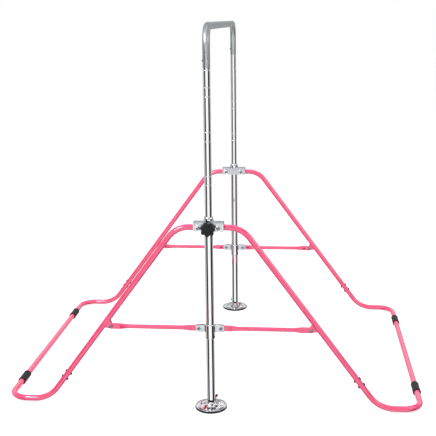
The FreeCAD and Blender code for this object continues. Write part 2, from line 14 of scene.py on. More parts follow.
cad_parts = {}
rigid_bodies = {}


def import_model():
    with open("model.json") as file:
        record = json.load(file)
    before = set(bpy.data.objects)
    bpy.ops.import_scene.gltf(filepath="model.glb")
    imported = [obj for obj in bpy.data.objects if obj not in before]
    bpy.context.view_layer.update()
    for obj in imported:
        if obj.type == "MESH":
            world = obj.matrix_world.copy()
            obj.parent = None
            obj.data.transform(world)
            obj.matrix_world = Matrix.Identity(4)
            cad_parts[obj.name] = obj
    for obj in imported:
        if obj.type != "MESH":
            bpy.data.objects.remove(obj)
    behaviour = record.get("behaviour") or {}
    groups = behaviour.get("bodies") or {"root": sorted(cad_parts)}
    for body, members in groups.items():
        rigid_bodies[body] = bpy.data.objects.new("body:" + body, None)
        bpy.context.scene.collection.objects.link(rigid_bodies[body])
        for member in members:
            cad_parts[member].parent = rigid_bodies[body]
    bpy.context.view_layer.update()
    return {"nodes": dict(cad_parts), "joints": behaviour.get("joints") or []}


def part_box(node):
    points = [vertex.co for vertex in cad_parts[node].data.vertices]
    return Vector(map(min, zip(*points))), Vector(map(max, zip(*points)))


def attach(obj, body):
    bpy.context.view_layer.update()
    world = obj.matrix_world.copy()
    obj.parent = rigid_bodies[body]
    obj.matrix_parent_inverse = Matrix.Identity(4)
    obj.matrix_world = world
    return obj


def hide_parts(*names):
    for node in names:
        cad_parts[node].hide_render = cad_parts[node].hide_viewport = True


bl_info = {
    "name": "Folding gymnastics bar",
    "version": (1, 0, 0),
    "blender": (4, 5, 0),
    "location": "3D View > Sidebar > Gym Bar",
    "description": "Finishes and detailed fittings of a folding gymnastics bar",
    "category": "Object",
}

# ------------------------------------------------------------------ the frame
for leftover in list(bpy.data.objects):
    bpy.data.objects.remove(leftover)
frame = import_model()
NODES = frame["nodes"]
JOINTS = {joint["name"]: joint for joint in frame["joints"]}

MM = 0.001
X, Y, Z = Vector((1, 0, 0)), Vector((0, 1, 0)), Vector((0, 0, 1))
ENDS = {"near": -1, "far": 1}       # sign of Y
SIDES = {"left": -1, "right": 1}    # sign of X

POST_Y = {end: JOINTS[end + "_knob_turn"]["pos_m"][1] for end in ENDS}
PIVOT_Z = JOINTS["near_knob_turn"]["pos_m"][2]
RUNNER_Z = JOINTS["near_left_brace_hinge"]["pos_m"][2]
RUNNER_X = JOINTS["near_right_brace_hinge"]["pos_m"][0]
TAB_X = JOINTS["right_leg_fold"]["pos_m"][0]
PIVOT_X = 36 * MM                   # leg pivots, from the post's axis
LEG_R = 11 * MM
LEG_LEAN = math.radians(36.5)       # of the straight leg, from the vertical
FLOOR_TUBE_Z = 15 * MM
LEG_BEND_X = 119 * MM               # where the leg's two straight lines meet
SEAM_BACK = 89                      # splice seam, in mm up the leg from the floor corner
FLOOR_CORNER_X = LEG_BEND_X + (PIVOT_Z - FLOOR_TUBE_Z) * math.tan(LEG_LEAN)
PLATE_THICK = 2.5                   # ear and tab plates, in mm
PLATE_BACKS = (-7.0, 4.5)           # their faces towards -Y, in mm from the post's axis
PLATE_FACE = 7 * MM                 # outer faces of a pair of plates, from the same axis
# places an outline drawn in local X, Y upright, in X and Z
UPRIGHT = Matrix(((1, 0, 0, 0), (0, 0, 1, 0), (0, 1, 0, 0), (0, 0, 0, 1)))
RIVET_BACK = 26 * MM                # brace rivets, from the pin at their end
RIVET_SEAT = 3.9 * MM               # under the rivet heads, just inside a brace's flat face
KNOB_NUT_Y = 18.3 * MM              # inner face of the nut boss, from the post's axis
LOCK_SCREW_TURN = math.radians(49)  # of the lock screw round the post, from -Y towards +X
SLEEVE_Y = 388 * MM                 # middle of each rubber sleeve
GRIP_FADE = (1.300, 1.375)          # heights, in m, between which satin turns to blasted grip


def leg_point(side, y, back):
    """A point on the straight leg's axis, back up the leg from the floor corner."""
    return Vector((side * (FLOOR_CORNER_X - back * math.sin(LEG_LEAN)), y,
                   FLOOR_TUBE_Z + back * math.cos(LEG_LEAN)))


def leg_inward(side):
    """Unit vector square to the leg, towards the post."""
    return Vector((-side * math.cos(LEG_LEAN), 0, -math.sin(LEG_LEAN)))


def leg_down(side):
    """Unit vector down along the leg."""
    return Vector((side * math.sin(LEG_LEAN), 0, -math.cos(LEG_LEAN)))


# ------------------------------------------------------------------ user settings
def colour(name, text, value):
    return FloatVectorProperty(name=name, description=text, default=value, subtype="COLOR",
                               size=3, min=0.0, max=1.0)


def length(name, text, value):
    return FloatProperty(name=name, description=text, default=value, unit="LENGTH",
                         subtype="DISTANCE", precision=5)


def angle(name, text, degrees):
    return FloatProperty(name=name, description=text, default=math.radians(degrees),
                         unit="ROTATION", subtype="ANGLE")


class GymBarColours(bpy.types.PropertyGroup):
    """Colours of the finishes."""
    paint: colour("Paint", "Gloss paint of the legs and braces", (1.0, 0.068, 0.225))
    paint_deep: colour("Paint, deep", "Paint where the coat is thicker", (0.96, 0.048, 0.180))
    chrome: colour("Chrome", "Plating of posts and inner tubes", (0.80, 0.81, 0.82))
    bar: colour("Crossbar", "Satin steel of the crossbar", (0.52, 0.545, 0.55))
    zinc: colour("Zinc", "Galvanised sheet", (0.70, 0.76, 0.79))
    # kept far darker than bright zinc: painted shade on the bolt heads, nuts, studs and lugs
    bolt: colour("Bolts", "Bright zinc of bolts and nuts", (0.34, 0.35, 0.36))
    dark: colour("Dark screws", "Blackened small screws", (0.045, 0.047, 0.05))
    rubber: colour("Rubber", "Sleeves and foot pads", (0.016, 0.017, 0.018))
    plastic: colour("Knob plastic", "Moulded star knobs", (0.012, 0.013, 0.014))
    nylon: colour("Nylon", "Liners, bushes and shoes", (0.62, 0.61, 0.57))
    mark: colour("Foot mark", "Enamel strip on each foot", (0.78, 0.001, 0.006))
    grip: colour("Lever grip", "Dipped tip of each foot lever", (0.13, 0.004, 0.02))


class GymBarSizes(bpy.types.PropertyGroup):
    """Sizes of the detailed fittings."""
    knob_lobes: IntProperty(name="Knob lobes", description="Lobes round a star knob",
                            default=7, min=3, max=12)
    knob_radius: length("Knob radius", "Radius over the lobes", 27.5 * MM)
    knob_valley: length("Knob valley", "Depth between two lobes", 5.4 * MM)
    knob_turn: angle("Knob turn", "Where the first lobe points, from straight up", 185)
    washer_radius: length("Pivot washer", "Radius of the discs under the pivot bolts", 11.9 * MM)
    head_radius: length("Pivot head", "Radius of a pivot bolt's domed head", 7.2 * MM)
    bead: length("Weld bead", "Radius of a weld bead", 1.5 * MM)
    sleeve_lip: length("Sleeve lip", "Width of the raised lip at each sleeve end", 4.5 * MM)
    mark_width: length("Mark width", "Width of the enamel strip", 6.6 * MM)
    edge: length("Sheet edge", "Rounding of sheet metal edges", 0.45 * MM)


class GymBarStage(bpy.types.PropertyGroup):
    """Floor, light and camera."""
    floor: colour("Floor", "Pale floor", (0.62, 0.62, 0.62))
    surround: colour("Surround", "Pale studio beyond the floor", (0.99, 0.99, 0.99))
    floor_glow: FloatProperty(name="Floor glow", description="Lifts the floor to the pale "
                              "surround without lighting the bar", default=0.72, min=0.0)
    sky: FloatProperty(name="Sky", description="Strength of the soft studio light",
                       default=0.42, min=0.0)
    key: FloatProperty(name="Key light", description="Power of the main soft box",
                       default=84.0, min=0.0, subtype="POWER", unit="POWER")
    fill: FloatProperty(name="Fill light", description="Power of the side soft box",
                        default=12.0, min=0.0, subtype="POWER", unit="POWER")
    lens: FloatProperty(name="Lens", description="Focal length on a 36 mm sensor, in mm",
                        default=71.0, min=1.0)
    camera_yaw: angle("Camera yaw", "Turn of the camera from +Y", 5.527)
    camera_pitch: angle("Camera pitch", "How far the camera looks down", 13.013)
    camera_roll: angle("Camera roll", "Roll of the camera", -0.636)


# ------------------------------------------------------------------ mesh helpers
def stand(at, way):
    """Placement whose local Z points along a direction."""
    return Matrix.Translation(at) @ Vector(way).to_track_quat("Z", "Y").to_matrix().to_4x4()


def bridge(bm, one, two):
    """Faces between two rings; a ring of one vertex makes a fan."""
    if len(one) == 1 and len(two) == 1:
        return
    count = max(len(one), len(two))
    for k in range(count):
        n = (k + 1) % count
        if len(one) == 1:
            bm.faces.new((one[0], two[n], two[k]))
        elif len(two) == 1:
            bm.faces.new((one[k], one[n], two[0]))
        else:
            bm.faces.new((one[k], one[n], two[n], two[k]))


def loft(bm, rings, loop=False):
    """Skin a list of point rings, closed at both ends unless it is a loop."""
    made = [[bm.verts.new(p) for p in ring] for ring in rings]
    for one, two in zip(made, made[1:]):
        bridge(bm, one, two)
    if loop:
        bridge(bm, made[-1], made[0])
        return
    for ring in (made[0], made[-1]):
        if len(ring) > 2:
            bm.faces.new(ring)


def eased(points, loop=False, steps=4):
    """Round the corners of an outline of (radius, height, rounding) points."""
    soft = []
    for k, (r, h, rounding) in enumerate(points):
        corner = Vector((r, h))
        if not rounding or (not loop and k in (0, len(points) - 1)):
            soft.append(corner)
            continue
        before = Vector(points[k - 1][:2]) - corner
        after = Vector(points[(k + 1) % len(points)][:2]) - corner
        reach = min(rounding, before.length * 0.49, after.length * 0.49)
        start = corner + before.normalized() * reach
        stop = corner + after.normalized() * reach
        for s in range(steps + 1):
            t = s / steps
            soft.append(start * (1 - t) ** 2 + corner * (2 * t * (1 - t)) + stop * t ** 2)
    return soft


def circle(place, radius, high, count):
    """Ring of points about the local Z axis of a placement, in metres."""
    return [place @ Vector((radius * math.cos(a), radius * math.sin(a), high))
            for a in (2 * math.pi * k / count for k in range(count))]


def lathe(bm, outline, place, segments=64, loop=False):
    """Turn an outline, in millimetres, about the local Z axis of a placement."""
    rings = []
    for r, h in eased(outline, loop):
        if r < 1e-6:
            rings.append([place @ Vector((0, 0, h * MM))])
            continue
        rings.append(circle(place, r * MM, h * MM, segments))
    loft(bm, rings, loop)


def plate(bm, outline, place, thick):
    """Flat plate: a closed outline of local X, Y points, thick along local Z."""
    low = [place @ Vector((x, y, 0)) for x, y in outline]
    high = [place @ Vector((x, y, thick)) for x, y in outline]
    loft(bm, [low, high])


def hex_radius(across, at):
    """Radius of a hexagon, given its width across corners, at an angle."""
    flat = across / 2 * math.cos(math.pi / 6)
    return flat / math.cos((at + math.pi / 6) % (math.pi / 3) - math.pi / 6)


def hex_nut(bm, at, way, across, high, hole=0.0):
    """Hexagon nut or head with chamfered corners; all sizes in metres."""
    place, rings = stand(at, way), []
    for h, limit in ((0.0, 0.90), (0.10, 1.0), (0.84, 1.0), (1.0, 0.88)):
        ring = []
        for k in range(48):
            a = 2 * math.pi * k / 48
            r = min(hex_radius(across, a), across / 2 * limit)
            ring.append(place @ Vector((r * math.cos(a), r * math.sin(a), h * high)))
        rings.append(ring)
    if hole:
        inner = [circle(place, hole, h, 48) for h in (high, 0.0)]
        loft(bm, rings + inner, loop=True)
    else:
        loft(bm, rings)


def dome_head(bm, at, way, radius, high, socket=0.0):
    """Domed bolt head, with a recess in its middle if socket is given; in metres."""
    r, h, s = radius / MM, high / MM, socket / MM
    outline = [(0, 0, 0), (r, 0, 0), (r, h * 0.28, 0.3)]
    outline += [(r * math.cos(a), h * (0.28 + 0.72 * math.sin(a)), 0)
                for a in (math.radians(d) for d in range(15, 76, 12))]
    if s:
        outline += [(s + 0.3, h, 0.2), (s, h - 0.3, 0.2), (s, h * 0.45, 0.1), (0, h * 0.45, 0)]
    else:
        outline += [(0, h, 0)]
    lathe(bm, outline, stand(at, way), 40)


def shank(bm, start, stop, radius, thread=False):
    """Round bar with eased ends; a threaded one has fine rings near its far end."""
    run = stop - start
    reach, r = run.length / MM, radius / MM
    outline = [(0, 0, 0), (r, 0, 0.2)]
    if thread:
        turn = 0.8
        for k in range(4):
            low = reach - 0.6 - (4 - k) * turn
            outline += [(r, low, 0), (r * 0.88, low + turn / 2, 0)]
    outline += [(r, reach - 0.6, 0.1), (r * 0.8, reach, 0.2), (0, reach, 0)]
    lathe(bm, outline, stand(start, run), 32)


def bead(bm, start, stop, radius):
    """Weld bead with the ripples that a torch leaves."""
    run = stop - start
    place, reach = stand(start, run), run.length
    count = max(8, int(reach / (0.5 * MM)))
    rings = []
    for s in range(count + 1):
        t = s / count
        r = radius * (0.25 + 0.75 * math.sin(math.pi * t) ** 0.35)
        r *= 1 + 0.14 * math.sin(2 * math.pi * t * reach / (2.3 * MM))
        rings.append(circle(place, r, t * reach, 12))
    loft(bm, rings)


def squared_ring(at, across, up, power, count=48):
    """Ring of points between an ellipse (power 2) and a rounded rectangle (8), given
    its two half axes as vectors."""
    ring = []
    for k in range(count):
        a = 2 * math.pi * k / count
        c, s = math.cos(a), math.sin(a)
        ring.append(at + across * math.copysign(abs(c) ** (2 / power), c)
                    + up * math.copysign(abs(s) ** (2 / power), s))
    return ring


def new_object(name, bm):
    """Object made from a bmesh, which it uses up, in the scene."""
    bmesh.ops.recalc_face_normals(bm, faces=bm.faces)
    mesh = bpy.data.meshes.new(name)
    bm.to_mesh(mesh)
    bm.free()
    made = bpy.data.objects.new(name, mesh)
    bpy.context.scene.collection.objects.link(made)
    return made


def shade(mesh, sharp=32):
    """Smooth faces, with a crease where they meet at more than sharp degrees."""
    mesh.polygons.foreach_set("use_smooth", [True] * len(mesh.polygons))
    mesh.set_sharp_from_angle(angle=math.radians(sharp))


def make_piece(name, bm, body, finish, sharp=32):
    """Turn a bmesh into a piece that rides on a body and wears a finish."""
    piece = new_object(name, bm)
    shade(piece.data, sharp)
    piece.data.materials.append(bpy.data.materials[finish])
    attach(piece, body)
    return piece


def carve(piece, cutter):
    """Cut one bmesh out of a piece and keep the result as its mesh."""
    tool = new_object(piece.name + "_cutter", cutter)
    cut = piece.modifiers.new("cut", "BOOLEAN")
    cut.operation, cut.solver, cut.object = "DIFFERENCE", "EXACT", tool
    bpy.context.view_layer.update()
    solid = piece.evaluated_get(bpy.context.evaluated_depsgraph_get())
    mesh = bpy.data.meshes.new_from_object(solid)
    if len(mesh.polygons) < 8:
        raise RuntimeError("cutting " + piece.name + " left no solid")
    piece.modifiers.clear()
    piece.data = mesh
    shade(mesh)
    bpy.data.objects.remove(tool)
    return piece


def soften(piece, width, segments=2):
    """Round the sharp edges of a sheet metal piece."""
    ease = piece.modifiers.new("eased edges", "BEVEL")
    ease.width, ease.segments = width, segments
    ease.limit_method, ease.angle_limit = "ANGLE", math.radians(40)
    return piece


def wear(node, finish):
    """Give a CAD node its finish."""
    slots = NODES[node].data.materials
    slots.clear()
    slots.append(bpy.data.materials[finish])


# ------------------------------------------------------------------ shader helpers
class Board:
    """Lays out shader nodes in one tree."""

    def __init__(self, tree):
        self.tree = tree

    def add(self, kind, inputs=None, **settings):
        node = self.tree.nodes.new(kind)
        for key, value in settings.items():
            setattr(node, key, value)
        for key, value in (inputs or {}).items():
            if isinstance(value, bpy.types.NodeSocket):
                self.tree.links.new(value, node.inputs[key])
            else:
                node.inputs[key].default_value = value
        return node

    def math(self, operation, one, two=0.0, clamp=False):
        return self.add("ShaderNodeMath", {0: one, 1: two}, operation=operation,
                        use_clamp=clamp).outputs[0]

    def remap(self, value, low, high, to_low, to_high):
        node = self.add("ShaderNodeMapRange", {"Value": value, "From Min": low, "From Max": high,
                                               "To Min": to_low, "To Max": to_high})
        return node.outputs["Result"]

    def blend(self, amount, one, two):
        node = self.add("ShaderNodeMix", data_type="RGBA")
        for socket, value in ((node.inputs[0], amount), (node.inputs[6], one),
                              (node.inputs[7], two)):
            if isinstance(value, bpy.types.NodeSocket):
                self.tree.links.new(value, socket)
            else:
                socket.default_value = value
        return node.outputs[2]

    def noise(self, where, scale, detail=2.0):
        return self.add("ShaderNodeTexNoise", {"Vector": where, "Scale": scale,
                                               "Detail": detail}).outputs["Fac"]

    def use(self, group, **inputs):
        node = self.add("ShaderNodeGroup", node_tree=bpy.data.node_groups[group])
        for key, value in inputs.items():
            socket = node.inputs[key.replace("_", " ")]
            if isinstance(value, bpy.types.NodeSocket):
                self.tree.links.new(value, socket)
            else:
                socket.default_value = value
        return node.outputs


def new_group(name, inputs, outputs):
    """Empty shader node group with named sockets, and the board to fill it."""
    tree = bpy.data.node_groups.new(name, "ShaderNodeTree")
    for label, kind in inputs:
        tree.interface.new_socket(label, in_out="INPUT", socket_type="NodeSocket" + kind)
    for label, kind in outputs:
        tree.interface.new_socket(label, in_out="OUTPUT", socket_type="NodeSocket" + kind)
    board = Board(tree)
    return board, board.add("NodeGroupInput").outputs, board.add("NodeGroupOutput").inputs


def rgba(value):
    return (*value, 1.0)


def build_groups():
    """The effects that several finishes share."""
    board, given, out = new_group(
        "Drawn grain", [("Spread", "Vector"), ("Low", "Float"), ("High", "Float")],
        [("Roughness", "Float"), ("Height", "Float")])
    where = board.add("ShaderNodeTexCoord").outputs["Object"]
    stretched = board.add("ShaderNodeVectorMath", {0: where, 1: given["Spread"]},
                          operation="MULTIPLY").outputs[0]
    line = board.noise(stretched, 1.0, 3.0)
    patch = board.noise(where, 9.0, 2.0)
    both = board.math("ADD", board.math("MULTIPLY", line, 0.6),
                      board.math("MULTIPLY", patch, 0.4))
    spread = board.add("ShaderNodeMapRange", {
        "Value": both, "From Min": 0.35, "From Max": 0.65,
        "To Min": given["Low"], "To Max": given["High"]})
    board.tree.links.new(spread.outputs[0], out["Roughness"])
    board.tree.links.new(line, out["Height"])

    board, given, out = new_group(
        "Scuffs", [("Amount", "Float"), ("Scale", "Float")], [("Mask", "Float")])
    where = board.add("ShaderNodeTexCoord").outputs["Object"]
    bent = board.add("ShaderNodeVectorMath", {0: where, 1: (1.0, 1.0, 0.22)},
                     operation="MULTIPLY").outputs[0]
    streak = board.noise(bent, given["Scale"], 6.0)
    sparse = board.noise(where, 14.0, 1.0)
    mask = board.math("MULTIPLY", board.remap(streak, 0.60, 0.68, 0.0, 1.0),
                      board.remap(sparse, 0.50, 0.62, 0.0, 1.0))
    mask = board.math("MULTIPLY", mask, given["Amount"], clamp=True)
    board.tree.links.new(mask, out["Mask"])

    board, given, out = new_group(
        "Paint skin", [("Fresh", "Color"), ("Deep", "Color"), ("Peel", "Float")],
        [("Colour", "Color"), ("Height", "Float"), ("Roughness", "Float")])
    where = board.add("ShaderNodeTexCoord").outputs["Object"]
    thick = board.remap(board.noise(where, 22.0, 3.0), 0.35, 0.65, 0.0, 1.0)
    peel = board.noise(where, given["Peel"], 1.5)
    fine = board.noise(where, 2600.0, 1.0)
    board.tree.links.new(board.blend(thick, given["Fresh"], given["Deep"]), out["Colour"])
    board.tree.links.new(board.math("ADD", peel, board.math("MULTIPLY", fine, 0.12)),
                         out["Height"])
    board.tree.links.new(board.remap(peel, 0.3, 0.7, 0.26, 0.36), out["Roughness"])

    board, given, out = new_group(
        "Zinc bloom", [("Light", "Color"), ("Dull", "Color"), ("Crystals", "Float")],
        [("Colour", "Color"), ("Roughness", "Float"), ("Height", "Float")])
    where = board.add("ShaderNodeTexCoord").outputs["Object"]
    cells = board.add("ShaderNodeTexVoronoi", {"Vector": where, "Scale": given["Crystals"]})
    tone = board.add("ShaderNodeSeparateColor", {0: cells.outputs["Color"]}).outputs[0]
    cloud = board.noise(where, 40.0, 4.0)
    amount = board.math("ADD", board.math("MULTIPLY", tone, 0.55),
                        board.math("MULTIPLY", cloud, 0.45))
    board.tree.links.new(board.blend(amount, given["Light"], given["Dull"]), out["Colour"])
    board.tree.links.new(board.remap(amount, 0.1, 0.9, 0.20, 0.42), out["Roughness"])
    board.tree.links.new(amount, out["Height"])

    board, given, out = new_group(
        "Moulded skin", [("Base", "Color"), ("Dust", "Color"), ("Grain", "Float")],
        [("Colour", "Color"), ("Height", "Float"), ("Roughness", "Float")])
    where = board.add("ShaderNodeTexCoord").outputs["Object"]
    grain = board.add("ShaderNodeTexVoronoi", {"Vector": where, "Scale": given["Grain"]},
                      feature="SMOOTH_F1").outputs["Distance"]
    film = board.remap(board.noise(where, 60.0, 5.0), 0.48, 0.80, 0.0, 0.55)
    board.tree.links.new(board.blend(film, given["Base"], given["Dust"]), out["Colour"])
    board.tree.links.new(grain, out["Height"])
    board.tree.links.new(board.remap(film, 0.0, 0.55, 0.42, 0.62), out["Roughness"])


def new_finish(name, metallic=0.0, coat=0.0, coat_roughness=0.05):
    """Material with a Principled shader, and the board to fill it."""
    material = bpy.data.materials.new(name)
    material.use_nodes = True
    board = Board(material.node_tree)
    shader = material.node_tree.nodes["Principled BSDF"]
    shader.inputs["Metallic"].default_value = metallic
    shader.inputs["Coat Weight"].default_value = coat
    shader.inputs["Coat Roughness"].default_value = coat_roughness
    return board, shader


def join(board, shader, tint, roughness, height, bump, distance):
    """Feed a Principled shader its colour, roughness and bump."""
    links = board.tree.links
    links.new(tint, shader.inputs["Base Color"])
    links.new(roughness, shader.inputs["Roughness"])
    raised = board.add("ShaderNodeBump", {"Strength": bump, "Distance": distance,
                                          "Height": height})
    links.new(raised.outputs["Normal"], shader.inputs["Normal"])


def plated(name, tint, low, high, spread, scuff=0.5, bump=0.12):
    """Bright plated or drawn metal with fine lines and a few scuffs."""
    board, shader = new_finish(name, metallic=1.0)
    grain = board.use("Drawn grain", Spread=spread, Low=low, High=high)
    marks = board.use("Scuffs", Amount=scuff, Scale=240.0)["Mask"]
    worn = [c * 0.80 for c in tint]
    rough = board.math("ADD", grain["Roughness"], board.math("MULTIPLY", marks, 0.16))
    join(board, shader, board.blend(marks, rgba(tint), rgba(worn)), rough, grain["Height"],
         bump, 0.00012)


def painted(name, fresh, deep, scuff=0.25, coat=1.0):
    """Gloss powder coat with a soft orange peel."""
    board, shader = new_finish(name, coat=coat, coat_roughness=0.10)
    shader.inputs["Coat IOR"].default_value = 1.8
    shader.inputs["Specular IOR Level"].default_value = 0.5 if coat else 0.05
    skin = board.use("Paint skin", Fresh=rgba(fresh), Deep=rgba(deep), Peel=420.0)
    marks = board.use("Scuffs", Amount=scuff, Scale=180.0)["Mask"]
    pale = [min(1.0, c * 0.7 + 0.25) for c in fresh]
    rough = board.math("ADD", skin["Roughness"], board.math("MULTIPLY", marks, 0.2))
    join(board, shader, board.blend(marks, skin["Colour"], rgba(pale)), rough,
         skin["Height"], 0.10, 0.00025)


def zinc_coated(name, light, crystals, bump=0.2):
    """Galvanised or zinc plated steel with its crystals."""
    board, shader = new_finish(name, metallic=1.0)
    dull = [c * 0.72 for c in light]
    skin = board.use("Zinc bloom", Light=rgba(light), Dull=rgba(dull), Crystals=crystals)
    marks = board.use("Scuffs", Amount=0.5, Scale=300.0)["Mask"]
    rough = board.math("ADD", skin["Roughness"], board.math("MULTIPLY", marks, 0.15))
    join(board, shader, board.blend(marks, skin["Colour"], rgba([c * 0.5 for c in light])),
         rough, skin["Height"], bump, 0.0002)


def moulded(name, base, grain, bump=0.25, dust=0.06):
    """Moulded rubber or plastic with a fine grain and a film of dust."""
    board, shader = new_finish(name)
    shader.inputs["Specular IOR Level"].default_value = 0.22
    film = [c + dust for c in base]
    skin = board.use("Moulded skin", Base=rgba(base), Dust=rgba(film), Grain=grain)
    join(board, shader, skin["Colour"], skin["Roughness"], skin["Height"], bump, 0.0003)


def crossbar_finish(tint):
    """Satin steel: fine lines on the uprights, a blasted matte grip along the top run."""
    board, shader = new_finish("crossbar satin", metallic=1.0)
    where = board.add("ShaderNodeTexCoord").outputs["Object"]
    high = board.add("ShaderNodeSeparateXYZ", {0: where}).outputs["Z"]
    grip = board.remap(high, *GRIP_FADE, 0.0, 1.0)
    grain = board.use("Drawn grain", Spread=(900.0, 900.0, 18.0), Low=0.24, High=0.32)
    blasted = board.use("Drawn grain", Spread=(1500.0, 700.0, 1500.0), Low=0.44, High=0.56)
    marks = board.use("Scuffs", Amount=0.6, Scale=260.0)["Mask"]

    def pick(one, two):
        return board.math("ADD", board.math("MULTIPLY", one, board.math("SUBTRACT", 1.0, grip)),
                          board.math("MULTIPLY", two, grip))

    rough = board.math("ADD", pick(grain["Roughness"], blasted["Roughness"]),
                       board.math("MULTIPLY", marks, 0.12))
    satin = [c * 0.95 for c in tint]
    base = board.blend(grip, rgba(satin), rgba(tint))
    join(board, shader, board.blend(marks, base, rgba([c * 0.7 for c in tint])), rough,
         pick(board.math("MULTIPLY", grain["Height"], 0.3), blasted["Height"]), 0.35, 0.0003)


def turned_finish(tint):
    """Chromed pressing with fine circular polishing lines about each post's axis."""
    board, shader = new_finish("disc chrome", metallic=1.0)
    where = board.add("ShaderNodeTexCoord").outputs["Object"]
    parts = board.add("ShaderNodeSeparateXYZ", {0: where}).outputs
    across = board.math("SUBTRACT", board.math("ABSOLUTE", parts["Y"]), abs(POST_Y["far"]))
    radius = board.math("SQRT", board.math("ADD", board.math("POWER", parts["X"], 2.0),
                                           board.math("POWER", across, 2.0)))
    flat = board.add("ShaderNodeCombineXYZ", {"X": board.math("MULTIPLY", radius, 1400.0),
                                              "Y": 0.0, "Z": 0.0}).outputs[0]
    lines = board.noise(flat, 1.0, 3.0)
    marks = board.use("Scuffs", Amount=0.7, Scale=320.0)["Mask"]
    rough = board.math("ADD", board.remap(lines, 0.3, 0.7, 0.10, 0.20),
                       board.math("MULTIPLY", marks, 0.2))
    join(board, shader, board.blend(marks, rgba(tint), rgba([c * 0.75 for c in tint])), rough,
         lines, 0.12, 0.00012)


# ------------------------------------------------------------------ operators
class GYMBAR_OT_finishes(bpy.types.Operator):
    """Build the shared node groups and every finish"""
    bl_idname = "gymbar.finishes"
    bl_label = "Finishes"

    def execute(self, context):
        tints = context.scene.gymbar_colours
        build_groups()
        plated("post chrome", tints.chrome, 0.035, 0.075, (700.0, 700.0, 12.0))
        plated("inner chrome", tints.chrome, 0.045, 0.09, (700.0, 700.0, 12.0), scuff=0.8)
        crossbar_finish(tints.bar)
        turned_finish(tints.chrome)
        painted("gloss paint", tints.paint, tints.paint_deep)
        painted("mark enamel", tints.mark, [c * 0.8 for c in tints.mark], scuff=0.0, coat=0.0)
        zinc_coated("galvanised sheet", tints.zinc, 260.0)
        # zinc of the bolts, studs, lugs and levers, with its tint darkened as painted shade
        zinc_coated("zinc with painted shade", tints.bolt, 900.0, bump=0.1)
        # zinc darkened to a third: dark weld scale, and painted shade where the ears meet the runner
        # sleeve
        zinc_coated("weld scale with painted shade", [c * 0.35 for c in tints.zinc], 700.0, bump=0.5)
        plated("dark screw", tints.dark, 0.30, 0.45, (500.0, 500.0, 500.0), scuff=1.0)
        moulded("rubber", tints.rubber, 900.0, bump=0.4, dust=0.02)
        moulded("knob plastic", tints.plastic, 1500.0, bump=0.2, dust=0.03)
        moulded("nylon", tints.nylon, 1200.0, bump=0.1, dust=0.05)
        moulded("dipped grip", tints.grip, 1400.0, bump=0.15, dust=0.02)
        return {"FINISHED"}


class GYMBAR_OT_tubes(bpy.types.Operator):
    """Finish the tubes and the hidden liners that come from the frame as they are"""
    bl_idname = "gymbar.tubes"
    bl_label = "Tubes and liners"

    def execute(self, context):
        for end in ENDS:
            wear(end + "_post", "post chrome")
            wear(end + "_inner_tube", "inner chrome")
            wear(end + "_runner_liner", "nylon")
            wear(end + "_knob_stud", "zinc with painted shade")
            wear(end + "_foot_lever", "zinc with painted shade")
            for side in SIDES:
                wear(end + "_" + side + "_leg", "gloss paint")
        wear("crossbar", "crossbar satin")
        for node in ("guide_bushes", "inner_shoes"):
            wear(node, "nylon")
        wear("ball_studs", "zinc with painted shade")
        wear("post_plugs", "knob plastic")
        wear("pivot_spacers", "nylon")
        for side in SIDES:
            wear(side + "_floor_tube", "gloss paint")
            wear(side + "_leg_plugs", "knob plastic")
        return {"FINISHED"}


class GYMBAR_OT_channels(bpy.types.Operator):
    """Folded sheet channels over the leg tops, with eased edges and a hole for the post"""
    bl_idname = "gymbar.channels"
    bl_label = "Channels"

    def execute(self, context):
        sizes = context.scene.gymbar_sizes
        for end in ENDS:
            low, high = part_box(end + "_channel")
            half, top, bottom = (high.y - low.y) / 2 / MM, high.z / MM, low.z / MM
            wall = 2.0
            inner = half - wall
            outline = eased([(-half, bottom, 0), (-half, top, 3.2), (half, top, 3.2),
                             (half, bottom, 0), (inner, bottom, 0), (inner, top - wall, 1.6),
                             (-inner, top - wall, 1.6), (-inner, bottom, 0)], loop=True, steps=5)
            bm, y = bmesh.new(), POST_Y[end]
            loft(bm, [[Vector((x, y + p.x * MM, p.y * MM)) for p in outline]
                      for x in (low.x, low.x * 0.5, 0.0, high.x * 0.5, high.x)])
            piece = make_piece(end + "_channel_sheet", bm, "posts",
                               "galvanised sheet")
            hole = bmesh.new()
            lathe(hole, [(0, -20, 0), (16.05, -20, 0), (16.05, 20, 0), (0, 20, 0)],
                  stand(Vector((0, y, high.z)), Z), 64)
            carve(piece, hole)
            soften(piece, sizes.edge)
            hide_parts(end + "_channel")
        return {"FINISHED"}


class GYMBAR_OT_collars(bpy.types.Operator):
    """Domed collars over the post tops, with a dark wiper ring round the inner tube"""
    bl_idname = "gymbar.collars"
    bl_label = "Domed collars"

    def execute(self, context):
        low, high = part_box("collar_rings")
        base, top, wide = low.z / MM, high.z / MM, (high.x - low.x) / 2 / MM
        bm, wiper = bmesh.new(), bmesh.new()
        for end in ENDS:
            place = stand(Vector((0, POST_Y[end], 0)), Z)
            dome = [(wide - (wide - 15.2) * (1 - math.cos(a)),
                     base + 6.5 + (top - base - 6.5) * math.sin(a), 0)
                    for a in (math.radians(d) for d in range(9, 91, 9))]
            lathe(bm, [(16.0, base, 0), (wide - 0.2, base, 0.4), (wide, base + 0.8, 0.4),
                       (wide, base + 6.5, 0)] + dome
                  + [(14.3, top, 0.3), (14.3, top - 1.4, 0.2), (13.75, top - 1.4, 0.1),
                     (13.75, top - 4, 0), (16.0, top - 4, 0)], place, 72, loop=True)
            lathe(wiper, [(13.7, top - 1.2, 0.2), (14.1, top - 1.2, 0.2), (14.1, top - 0.1, 0.4),
                          (13.7, top - 0.1, 0.3)], place, 72, loop=True)
        piece = make_piece("collar_domes", bm, "posts", "post chrome")
        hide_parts("collar_rings")
        make_piece("collar_wipers", wiper, "posts", "rubber")
        return {"FINISHED"}


